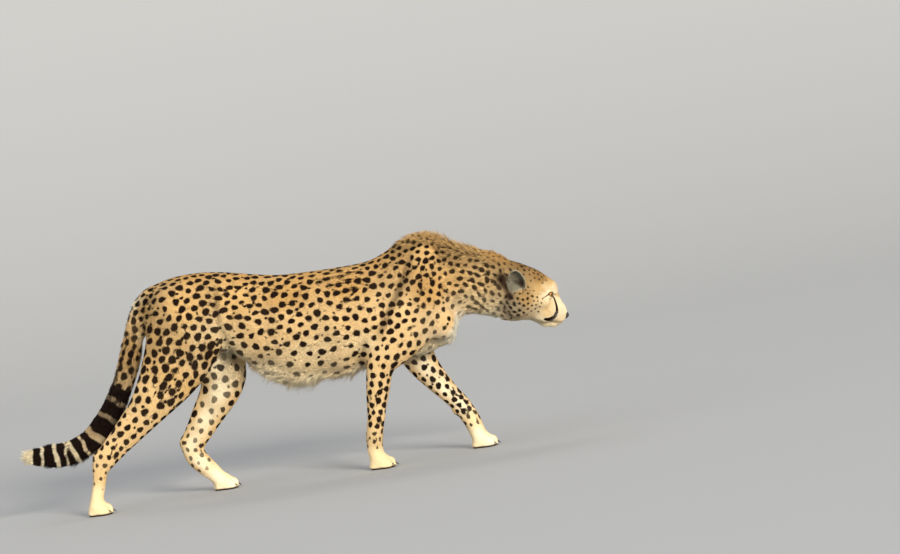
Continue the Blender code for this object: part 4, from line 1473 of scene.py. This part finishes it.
@dataclass(frozen=True)
class FurFinish:
    """Ground tone and crisp-edged markings, read from the mesh's attributes, with a grain of fine hairs."""

    name: str
    roughness: float
    specular: float
    grain: float
    edge: float
    relief: float = 0.0

    def material(self) -> bpy.types.Material:
        """Builds the node material."""
        nodes = Nodes(self.name, {"Roughness": self.roughness, "Specular IOR Level": self.specular})
        nodes.mark(self.edge, self.grain)
        if self.relief:
            nodes.relief(nodes.noise(self.grain, 3.0), self.relief, 0.0008)
        return nodes.material


SKIN_FINISH = FurFinish("coat_skin", 0.78, 0.07, 900.0, 0.10, relief=0.45)
TUFT_FINISH = FurFinish("coat_tufts", 0.60, 0.10, 1600.0, 0.12)


@dataclass(frozen=True)
class PlainFinish:
    """One colour."""

    name: str
    colour: Triple
    roughness: float

    def material(self) -> bpy.types.Material:
        """Builds the material."""
        return Nodes(self.name, {"Base Color": (*self.colour, 1.0), "Roughness": self.roughness}).material


# ---- eyes, nose, claws and whiskers


@dataclass(frozen=True)
class EyeFinish:
    """A glassy eye: a black pupil, an amber iris with fine spokes, and a dark rim."""

    stops: tuple[tuple[float, Triple], ...] = (
        (0.19, (0.002, 0.002, 0.002)),
        (0.23, (0.20, 0.085, 0.018)),
        (0.38, (0.52, 0.24, 0.045)),
        (0.56, (0.42, 0.18, 0.034)),
        (0.64, (0.06, 0.026, 0.010)),
        (0.74, (0.018, 0.011, 0.008)),
    )
    spokes: float = 1300.0  # grains to a metre

    def material(self) -> bpy.types.Material:
        """Builds the node material, which reads how far off the gaze each place lies, in radians."""
        glass = {"Specular IOR Level": 0.15, "Coat Weight": 0.65, "Coat Roughness": 0.02}
        nodes = Nodes("eye_glass", {"Roughness": 0.25, **glass})
        colour = nodes.add("ValToRGB", "Color", {"Fac": nodes.attribute("off_gaze")})
        stops = colour.node.color_ramp.elements
        for stop, (place, tone) in zip(list(stops), self.stops[:2]):
            stop.position, stop.color = place, (*tone, 1.0)
        for place, tone in self.stops[2:]:
            stops.new(place).color = (*tone, 1.0)
        nodes.feed(nodes.shader, {"Base Color": nodes.mottled(colour, self.spokes, 0.7, 1.2)})
        return nodes.material


def globe(rings: int, columns: int) -> tuple[Array, Array]:
    """The angles of a globe's points, v off its pole and u round it, in rings x columns."""
    round_it = np.linspace(0, 2 * math.pi, columns, endpoint=False)
    return tuple(np.meshgrid(np.linspace(0.02, math.pi - 0.02, rings), round_it, indexing="ij"))


@dataclass(frozen=True)
class EyeBall:
    """A round eyeball, with the cornea standing a little out over the iris."""

    socket: EyeSocket
    cornea: float = 0.0006
    edge: float = 0.66  # of the cornea, as an angle off the gaze, in radians

    def build(self, finish: bpy.types.Material) -> bpy.types.Object:
        """Makes the eyeball.

        A ring at the angle v off the gaze is (cos v, sin v cos u, sin v sin u) times the radius
        + cornea (1 - (v / edge)^2)^2.

        Args:
            finish: the eye's material.

        Returns:
            The ball, which stands for the solid's.
        """
        v, u = globe(44, 48)
        reach = self.socket.radius + self.cornea * np.square(np.clip(1 - np.square(v / self.edge), 0, 1))
        shape = np.stack([np.cos(v), np.sin(v) * np.cos(u), np.sin(v) * np.sin(u)], axis=2) * reach[..., None]
        places = FACE.to_world(self.socket.centre() + shape @ self.socket.axes())
        ball = outwards(capped(places))
        side = self.socket.side.label
        obj = make_object("eye_ball_" + side, ball, finish)
        give_attribute(obj, "off_gaze", np.concatenate([v.ravel(), [0.0, math.pi]]).clip(0, 1))
        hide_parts("eye_" + side)
        return obj


@dataclass(frozen=True)
class LeatherFinish:
    """Bare pebbled skin, near black and faintly damp."""

    colour: Triple = (0.022, 0.016, 0.014)
    pebbles: float = 1100.0  # to a metre
    relief: float = 0.5

    def material(self) -> bpy.types.Material:
        """Builds the node material."""
        damp = {"Roughness": 0.42, "Coat Weight": 0.25, "Coat Roughness": 0.25}
        nodes = Nodes("nose_leather", {"Base Color": (*self.colour, 1.0), **damp})
        place = nodes.add("TexCoord", "Object", {})
        pebbles = nodes.add("TexVoronoi", "Distance", {"Vector": place, "Scale": self.pebbles})
        nodes.relief(pebbles, self.relief, 0.0003)
        return nodes.material


@dataclass(frozen=True)
class Nose:
    """The leather pad: wide above, narrow below, with two comma-shaped nostrils and a groove."""

    place: Triple = (-0.0036, 0.0, -0.0070)
    half: Triple = (0.0102, 0.0172, 0.0108)
    nostril: tuple[float, float] = (0.0074, -0.0016)
    slit_end: tuple[float, float] = (0.0128, 0.0014)
    pit: float = 0.0052
    groove: float = 0.0014

    def build(self) -> bpy.types.Object:
        """Makes the pad.

        It is an ellipsoid whose half width shrinks to 0.55 of itself towards its foot, pushed back by
        pit at each nostril, by less along the nostril's slit, and by groove at the midline.
        """
        v, u = globe(90, 140)
        x = self.half[0] * np.cos(v)
        z = self.half[2] * np.sin(v) * np.sin(u)
        y = self.half[1] * np.sin(v) * np.cos(u) * (1 - 0.45 * ramp(z, 0.002, -self.half[2]))
        flat = np.column_stack([np.abs(y).ravel(), z.ravel()])
        hole = bell(norms((flat - self.nostril) / [1.25, 1.0]), 0.0024)
        away, share = nearest_on_line(flat, np.array([self.nostril, self.slit_end]))
        slit = bell(away, 0.0011) * (1 - 0.4 * share)
        front = ramp(x.ravel(), -0.001, 0.003)
        middle = bell(flat[:, 0], 0.0009) * ramp(flat[:, 1], 0.004, -0.002)
        back = (self.pit * np.maximum(hole, 0.55 * slit) + self.groove * middle) * front
        points = np.stack([x - back.reshape(x.shape), y, z], axis=2) + self.place
        obj = make_object("nose_pad", outwards(capped(HEAD.to_world(points))), LeatherFinish().material())
        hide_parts("nose")
        return obj


@dataclass(frozen=True)
class Claws:
    """Blunt curved claws: one before each toe, and a small dewclaw inside each foreleg."""

    toes: tuple[float, ...] = (-1.5, -0.5, 0.5, 1.5)
    hind: float = 0.95  # size of a hind paw against a fore paw
    length: float = 0.0135
    thick: float = 0.0021
    drop: float = 0.0062
    root: float = 0.0045  # how far behind the toe's front it starts
    height: float = 0.0135
    dewclaw: float = 0.046  # its height over the floor
    finish: PlainFinish = PlainFinish("claw_horn", (0.045, 0.032, 0.024), 0.35)

    def _tips(self, points: Array) -> tuple[Array, Array]:
        """Where each claw leaves the skin, and the way it points."""
        roots, ways = [], []
        for number, (x, y) in enumerate(paw_places()):
            fore, side = number < 2, np.sign(y)
            near = points[norms(points[:, :2] - [x, y]) < PAW_REACH]
            for toe in self.toes:
                across = y + toe * TOE_SPACING * (1.0 if fore else self.hind)
                row = near[(np.abs(near[:, 1] - across) < 0.003) & (np.abs(near[:, 2] - 0.0125) < 0.0035)]
                roots.append((row[:, 0].max() - self.root, across, self.height))
                ways.append((1.0, toe * 0.10, -0.25))
            if fore:
                shank = near[np.abs(near[:, 2] - self.dewclaw) < 0.003]
                inner = shank[(shank[:, 1] * side).argmin()]
                roots.append(tuple(inner + [0.0, side * 0.002, 0.0]))
                ways.append((0.75, -side * 0.25, -0.6))
        return np.array(roots), unit(np.array(ways))

    def build(self, surface: Surface) -> bpy.types.Object:
        """Makes all the claws as one piece.

        A claw's point at share s is root + s length way - s^2 drop up, and its radius falls as
        (1 - s)^0.7.

        Args:
            surface: the skin.

        Returns:
            The claws.
        """
        roots, ways = self._tips(surface.points)
        small = np.where(roots[:, 2] > 0.03, 0.75, 1.0)
        s = np.linspace(0, 1, 9)
        paths = roots[:, None] + (s[:, None] * self.length) * (ways * small[:, None])[:, None]
        paths[..., 2] -= np.square(s) * self.drop * small[:, None]
        radii = self.thick * small[:, None] * np.power(1 - s * 0.985, 0.7)
        paths[..., 2] = np.maximum(paths[..., 2], radii + 0.0006)
        across = np.cross(ways, np.broadcast_to([0.0, 0.0, 1.0], ways.shape))
        return make_object("claws", tubes(paths, radii, across, 10), self.finish.material())


@dataclass(frozen=True)
class Whiskers:
    """Stiff pale hairs in three rows on each side of the muzzle, and a few over each eye."""

    rows: tuple[float, ...] = (0.0035, -0.0035, -0.0110)
    along: tuple[float, ...] = (-0.016, -0.022, -0.028, -0.034)
    brows: tuple[tuple[float, float], ...] = ((-0.052, 0.073), (-0.057, 0.075))
    length: float = 0.052
    root: float = 0.00030
    finish: PlainFinish = PlainFinish("whisker_hair", (0.82, 0.78, 0.70), 0.4)

    def _roots(self, surface: Surface) -> tuple[Array, Array]:
        """Places on the skin of the muzzle's sides and brows, and which side each is on."""
        local = FACE.from_world(surface.points)
        front = (local[:, 0] > -0.09) & (surface.points[:, 0] > 0.70)
        wanted = [(back, up) for up in self.rows for back in self.along] + [*self.brows]
        picked, sides = [], []
        for side in Side:
            here = np.nonzero(front & (local[:, 1] * side.value > 0.010))[0]
            for place in wanted:
                away = norms(local[here][:, [0, 2]] - place)
                picked.append(here[away.argmin()])
                sides.append(side.value)
        return np.array(picked), np.array(sides, float)

    def build(self, surface: Surface) -> bpy.types.Object:
        """Makes all the whiskers as one piece.

        A whisker's point at share s is root + s length way - s^2 (a sweep back and a droop).

        Args:
            surface: the skin.

        Returns:
            The whiskers.
        """
        picked, sides = self._roots(surface)
        rng = np.random.default_rng(5)
        count = len(picked)
        roots = FACE.from_world(surface.points[picked])
        way = np.column_stack([rng.normal(-0.42, 0.10, count), sides * 0.80, rng.normal(0.02, 0.12, count)])
        back = rng.uniform(0.25, 0.50, count)
        sweep = np.column_stack([back, np.zeros(count), rng.uniform(0.10, 0.30, count)])
        length = self.length * rng.uniform(0.60, 1.0, count) * np.where(roots[:, 2] > 0.05, 0.7, 1.0)
        s = np.linspace(0, 1, 12)[None, :, None]
        paths = roots[:, None] + length[:, None, None] * (s * unit(way)[:, None] - s**2 * sweep[:, None])
        radii = np.broadcast_to(self.root * (1 - 0.85 * s[..., 0]), paths.shape[:2])
        across = np.broadcast_to([0.0, 0.0, 1.0], way.shape)
        return make_object("whiskers", tubes(FACE.to_world(paths), radii, across, 5), self.finish.material())


# ---- the coat's tufts


def taper(paths: Array, across: Array, up: Array, widths: Array) -> Surface:
    """Closed tapering tufts along paths, each with a three-cornered section and a pointed tip.

    Each ring is the path's point, a half width to either side and half a width up.

    Args:
        paths: tufts x stations x 3, the last station being the tip.
        across: a unit vector for each tuft.
        up: a unit vector for each tuft.
        widths: full width at each station but the tip, tufts x (stations - 1).

    Returns:
        All the tufts as one surface.
    """
    count, stations = paths.shape[:2]
    rings = stations - 1
    half = widths[:, :, None] * 0.5
    left = paths[:, :rings] - across[:, None] * half
    right = paths[:, :rings] + across[:, None] * half
    ridge = paths[:, :rings] + up[:, None] * half * 0.62
    body = np.stack([left, right, ridge], axis=2).reshape(count, rings * 3, 3)
    points = np.concatenate([body, paths[:, rings:]], axis=1)
    faces = [(0, 1, 2)]
    for ring in range(rings - 1):
        for i in range(3):
            j = (i + 1) % 3
            a, b, c, d = ring * 3 + i, ring * 3 + j, ring * 3 + 3 + j, ring * 3 + 3 + i
            faces += [(a, d, c), (a, c, b)]
    last = (rings - 1) * 3
    faces += [(last + (i + 1) % 3, last + i, rings * 3) for i in range(3)]
    each = rings * 3 + 1
    numbers = np.arange(count)[:, None, None] * each + np.array(faces)
    return Surface(points.reshape(-1, 3), numbers.reshape(-1, 3))


@dataclass(frozen=True)
class Region:
    """One piece of the coat: the centre line that it wraps, and what part of the skin it grows on."""

    name: str
    chain: Chain
    locks: bool = False


class Piece(IntEnum):
    """Numbers of the coat's pieces, in the order they are grown; a piece's random draws follow its number."""

    HEAD = 0
    NECK = 1
    RIBS = 2  # right, then left
    BELLY = 4
    TAIL = 5
    LEG = 6  # four, as in LEGS
    LOIN = 10  # right, then left


@dataclass
class Coat:
    """Tufts over the whole skin, in pieces of the body's regions."""

    plan: CoatPlan
    skin: Skin
    markings: Markings
    most: int = 195000  # triangles in a piece
    most_locks: int = 143000  # the same in a piece of long locks
    sink: float = 0.0004
    seed: int = 23
    long: float = 0.0195  # from this length on the belly's hair is its own piece
    parting: float = 0.08  # where the ribs' pieces meet the loins'
    marked: float = 0.85  # how far along its way out a tuft's tip is marked from
    probed: float = 0.42  # the same for a short tuft, whose tip's ink is worked out from there
    ragged: float = 0.06
    uneven: float = 0.09
    patch: float = 0.003  # size of a tuft's patch on its piece's unwrap
    root_light: float = 0.84
    tip_light: float = 1.08

    def regions(self, points: Array) -> tuple[Array, list[Region]]:
        """Says which piece of the coat each place belongs to.

        Args:
            points: places on the skin.

        Returns:
            A number for each place and the regions those numbers stand for.
        """
        found = [
            Region("coat_head", SPINE), Region("coat_neck", SPINE, locks=True),
            Region("coat_ribs_right", SPINE), Region("coat_ribs_left", SPINE),
            Region("coat_belly", SPINE, locks=True), Region("coat_tail", TAIL, locks=True),
            *(Region("coat_leg_" + chain.name, chain) for chain in LEGS),
            Region("coat_loin_right", SPINE), Region("coat_loin_left", SPINE),
        ]  # fmt: skip
        near = np.array([chain.nearness(points)[0] for chain in LEGS])
        x, y, z = points.T
        local = HEAD.from_world(points)
        label = np.where(x < self.parting, Piece.LOIN, Piece.RIBS) + (y > 0)
        shaggy = self.plan.at(points)["length"] > self.long
        label = np.where(shaggy & (x > -0.35), Piece.BELLY, label)
        neck = (x > 0.465 + 0.3 * (0.52 - z).clip(0)) & (z > 0.34)
        label = np.where(neck, Piece.NECK, label)
        label = np.where((local[:, 0] > -0.205) & (x > 0.60), Piece.HEAD, label)
        closest = near.argmin(axis=0)
        on_leg = (z < 0.40) & (near.min(axis=0) < 1.35) & ~shaggy
        on_leg |= (closest >= 2) & (near.min(axis=0) < 1.35) & (z < 0.47) & (x < -0.2)
        on_leg &= label != Piece.NECK
        right = closest % 2 == 0
        on_leg &= np.where(right, y < 0, y > 0)
        label = np.where(on_leg, Piece.LEG + closest, label)
        tail_near = TAIL.nearness(points)[0]
        on_tail = (tail_near < 1.3) & (x < -0.415) & (np.abs(y) < 0.055) & (near.min(axis=0) > 0.9)
        return np.where(on_tail, Piece.TAIL, label), found

    def grow(self) -> list[bpy.types.Object]:
        """Grows every piece of the coat.

        Returns:
            The finished pieces.
        """
        surface = self.skin.surface
        normals = surface.normals()
        areas = surface.areas()
        middles = surface.points[surface.faces].mean(axis=1)
        coat = self.plan.at(middles)
        label, regions = self.regions(middles)
        finish = TUFT_FINISH.material()
        weights = areas * coat["dense"] * 1e4 * (middles[:, 2] > 0.006)
        local = FACE.from_world(middles)
        for socket in SOCKETS:
            around = (local - socket.centre()) @ socket.axes().T
            open_eye = (socket.opening(around) < 0.0012) & (around[:, 0] > 0)
            weights = np.where(open_eye & (local[:, 0] > -0.13), 0.0, weights)
        local = HEAD.from_world(middles)
        nose = norms((local - Nose.place) / [0.012, 0.018, 0.012]) < 1.0
        weights = np.where(nose, 0.0, weights)
        share = 1.0
        made = []
        for number, region in enumerate(regions):
            here = np.where(label == number, weights, 0.0)
            count = int(here.sum() * share)
            if count < 10:
                continue
            rng = np.random.default_rng(self.seed + number)
            each = 10 if region.locks else 4
            count = min(count, (self.most_locks if region.locks else self.most) // each)
            made.append(self._piece(region, normals, here, count, finish, rng))
        return made

    def _piece(
        self, region: Region, normals: Array, weights: Array, count: int, finish: bpy.types.Material,
        rng: np.random.Generator,
    ) -> bpy.types.Object:  # fmt: skip
        """Grows one piece.

        A tuft's point at share s of its length l is root + s l way - (s l)^2 bend / 2 normal + rise s^0.8
        normal, so that it follows the skin and stands off it by its rise at the tip.

        Args:
            region: which piece.
            normals: the skin's normals at its points.
            weights: how many tufts each of the skin's triangles gets.
            count: how many tufts in all.
            finish: the tufts' material.
            rng: for the draws.

        Returns:
            The piece, with each tuft's tint and its place on the region's unwrap.
        """
        surface = self.skin.surface
        roots, up, face = sample_faces(surface, normals, weights, count, rng)
        coat = self.plan.at(roots)
        way = lie_of_hair(roots, up)
        across = np.cross(up, way)
        turn = rng.normal(0, 0.16, count) + 0.22 * waves(roots, 0.045, 5)
        way = way * np.cos(turn)[:, None] + across * np.sin(turn)[:, None]
        across = np.cross(up, way)
        ears = near_ears(roots)
        length = coat["length"] * rng.uniform(0.75, 1.2, count) * (1 - 0.30 * ears)
        length = np.where(ears > 0.5, np.minimum(length, 0.009), length)
        rise = coat["rise"] * rng.uniform(0.45, 1.25, count) * (1 - 0.6 * ears)
        shag = waves(roots, 0.026, 9) * region.locks
        length, rise = length * (1 + 0.22 * shag), rise * (1 + 0.5 * shag)
        width = coat["width"] * rng.uniform(0.8, 1.2, count)
        bend = self._bend(surface, normals, face, way)
        stations = 3 if region.locks else 2
        s = np.linspace(0, 1, stations)[None, :, None]
        run = s * length[:, None, None]
        below = self.sink + 0.5 * run**2 * bend[:, None, None]
        paths = roots[:, None] + run * way[:, None] - below * up[:, None]
        paths += rise[:, None, None] * s**0.8 * up[:, None]
        if region.locks:
            hang = 0.10 + 0.20 * ramp(roots[:, 0], 0.36, 0.26) * ramp(roots[:, 2], 0.38, 0.32)
            hang = hang * (1 + shag) * ramp(coat["length"], 0.016, 0.024)
            drop = hang[:, None] * length[:, None] * np.square(s[:, :, 0])
            paths[..., 2] -= drop
            paths[..., 0] += 0.3 * drop
        paths[..., 2] = np.maximum(paths[..., 2], 0.0008)
        widths = width[:, None] * np.linspace(1.0, 0.72, stations - 1)[None]
        tufts = taper(paths, across, up, widths)
        obj = make_object(region.name, tufts, finish)
        share = self.probed if paths.shape[1] == 2 else self.marked
        self._mark(obj, roots[:, None] + share * (paths - roots[:, None]), up, rng)
        places = self._unwrap(region, roots)
        ring = np.array([(-1, 0), (1, 0), (0, 0.3)])
        rings = [ring + [0, number] for number in range(stations - 1)]
        patch = self.patch / 2 * np.vstack([*rings, [(0, 2)]])
        give_map(obj, "OFBake", (places[:, None] + patch[None]).reshape(-1, 2))
        return obj

    def _mark(self, obj: bpy.types.Object, paths: Array, up: Array, rng: np.random.Generator) -> None:
        """Gives each corner of each tuft the markings of the skin below it, a little ragged.

        Args:
            obj: the piece.
            paths: where each tuft is marked from, tufts x stations x 3.
            up: the skin's normal at each root.
            rng: for the small differences from tuft to tuft.
        """
        count, stations = paths.shape[:2]
        ground, ink, dark = self.markings.at(paths.reshape(-1, 3), np.repeat(up, stations, axis=0))
        corners = np.append(np.repeat(np.arange(stations - 1), 3), stations - 1)
        light = np.linspace(self.root_light, self.tip_light, stations)
        shade = np.exp(rng.normal(0, self.uneven, count))[:, None] * light
        ground = ground.reshape(count, stations, 3) * shade[:, :, None]
        ink = ink.reshape(count, stations)
        if stations == 2:
            ink[:, 1] = ink[:, 0] + (ink[:, 1] - ink[:, 0]) * self.marked / self.probed
        ragged = ink + rng.normal(0, self.ragged, count)[:, None]
        give_attribute(obj, "ground", ground[:, corners].reshape(-1, 3).clip(0, 1))
        give_attribute(obj, "ink", ragged[:, corners].ravel().clip(-3, 1))
        give_attribute(obj, "dark", dark.reshape(count, stations)[:, corners].ravel())

    @staticmethod
    def _bend(surface: Surface, normals: Array, face: Array, way: Array) -> Array:
        """The skin's curvature along each tuft: minus the turn of its normal along way, per metre.

        way is written as a e1 + b e2 in its triangle's edges, and the normals' differences along those
        edges are added up in the same shares.
        """
        a, b, c = (surface.points[surface.faces[face, i]] for i in range(3))
        na, nb, nc = (normals[surface.faces[face, i]] for i in range(3))
        e1, e2 = b - a, c - a
        g11, g12, g22 = (e1 * e1).sum(1), (e1 * e2).sum(1), (e2 * e2).sum(1)
        w1, w2 = (way * e1).sum(1), (way * e2).sum(1)
        det = (g11 * g22 - g12**2).clip(1e-16)
        s, t = (g22 * w1 - g12 * w2) / det, (g11 * w2 - g12 * w1) / det
        turn = s[:, None] * (nb - na) + t[:, None] * (nc - na)
        return np.clip((turn * way).sum(axis=1), -12.0, 38.0)

    @staticmethod
    def _unwrap(region: Region, points: Array) -> Array:
        """The region's own skin rolled out round its centre line: the angle and the way along it."""
        share = region.chain.nearness(points)[1]
        centre, way = region.chain.along(share, 0.03)
        side = np.broadcast_to([0.0, 1.0, 0.0], way.shape)
        top = unit(np.cross(way, side))
        side = np.cross(top, way)
        offset = points - centre
        angle = np.arctan2((offset * side).sum(axis=1), (offset * top).sum(axis=1))
        along = share * region.chain.passed()[1] + (offset * way).sum(axis=1)
        rolled = np.column_stack([angle, along])
        low, high = rolled.min(axis=0), rolled.max(axis=0)
        return 0.01 + 0.975 * (rolled - low) / (high - low)


# ---- the studio


@dataclass(frozen=True)
class Studio:
    """A pale sweep for a floor, soft lamps and the camera."""

    look_at: Triple = (0.502, 0.0, 0.520)
    across: float = 2.655
    distance: float = 15.0
    fall: float = math.radians(4.0)
    roll: float = math.radians(9.4)
    sensor: float = 36.0

    def floor(self) -> bpy.types.Object:
        """A flat floor that curves up into a back wall far behind the animal."""
        turn = np.linspace(0.0, math.pi / 2, 24)
        reach = np.concatenate([[-16.0, -4.0, 0.0], 4.0 + 9.0 * np.sin(turn), [13.0]])
        height = np.concatenate([[0.0, 0.0, 0.0], 9.0 - 9.0 * np.cos(turn), [16.0]])
        wide = np.linspace(-14, 14, 5)
        points = np.stack(np.broadcast_arrays(wide[None], reach[:, None], height[:, None]), axis=2)
        paper = PlainFinish("floor_paper", (0.36, 0.36, 0.357), 0.9)
        obj = make_object("floor", grid(points, closed_across=False), paper.material())
        return obj

    def lamp(self, name: str, towards: tuple, softness: float, power: float, colour: tuple) -> None:
        """A far soft lamp that shines one way.

        Args:
            name: the lamp's name.
            towards: the way that its light travels.
            softness: the angle that it fills in the sky, in degrees.
            power: its strength.
            colour: its colour.
        """
        light = bpy.data.lights.new(name, "SUN")
        light.angle = math.radians(softness)
        light.energy = power
        light.color = colour
        obj = bpy.data.objects.new(name, light)
        obj.rotation_euler = Vector(towards).to_track_quat("-Z", "Y").to_euler()
        bpy.context.scene.collection.objects.link(obj)

    def lamps(self) -> None:
        """A warm soft key from ahead on the right, a weak fill from behind and a pale room."""
        self.lamp("key", (-0.40, 0.86, -0.34), 18.0, 4.0, (1.0, 0.94, 0.84))
        self.lamp("fill", (0.75, 0.45, -0.40), 60.0, 0.8, (0.96, 0.97, 1.0))
        self.lamp("back", (0.15, -0.75, -0.65), 50.0, 1.4, (1.0, 0.98, 0.95))
        world = bpy.data.worlds.new("room")
        world.use_nodes = True
        sky = world.node_tree.nodes["Background"].inputs
        sky["Color"].default_value = (0.90, 0.94, 1.0, 1.0)
        sky["Strength"].default_value = 0.70
        bpy.context.scene.world = world
        bpy.context.scene.view_settings.view_transform = "Standard"

    def camera(self) -> None:
        """A long lens from the right side, a little above the animal, rolled as it walks uphill."""
        data = bpy.data.cameras.new("camera")
        data.sensor_width = self.sensor
        data.lens = self.sensor * self.distance / self.across
        data.clip_start, data.clip_end = 0.1, 100.0
        forward = Vector((0.0, math.cos(self.fall), -math.sin(self.fall)))
        right, up = Vector((1.0, 0.0, 0.0)), Vector((0.0, math.sin(self.fall), math.cos(self.fall)))
        turned = right * math.cos(self.roll) - up * math.sin(self.roll)
        raised = right * math.sin(self.roll) + up * math.cos(self.roll)
        axes = Matrix((turned, raised, -forward)).transposed().to_4x4()
        obj = bpy.data.objects.new("camera", data)
        obj.matrix_world = Matrix.Translation(Vector(self.look_at) - forward * self.distance) @ axes
        bpy.context.scene.collection.objects.link(obj)
        bpy.context.scene.camera = obj


def main() -> None:
    """Builds the pieces in order and reports each one."""
    logging.basicConfig(level=logging.INFO, format="%(message)s")
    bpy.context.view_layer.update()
    studio = Studio()
    studio.floor()
    studio.lamps()
    studio.camera()

    plan = CoatPlan()
    skin = Skin(plan)
    skin.clay()
    skin.shape()
    markings = Markings(plan, skin.surface)
    eye = EyeFinish().material()
    pieces = [(skin.build(markings), "coat"), (Nose().build(), "nose_leather")]
    pieces += [(EyeBall(socket).build(eye), "eye") for socket in SOCKETS]
    pieces += [(Claws().build(skin.surface), "claw"), (Whiskers().build(skin.surface), "whisker")]
    pieces += [(obj, "coat") for obj in Coat(plan, skin, markings).grow()]
    for obj, slot in pieces:
        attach(obj, BODY)
        log.info("%s: %d triangles", obj.name, len(obj.data.polygons))
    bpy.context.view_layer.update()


if __name__ == "__main__":
    main()
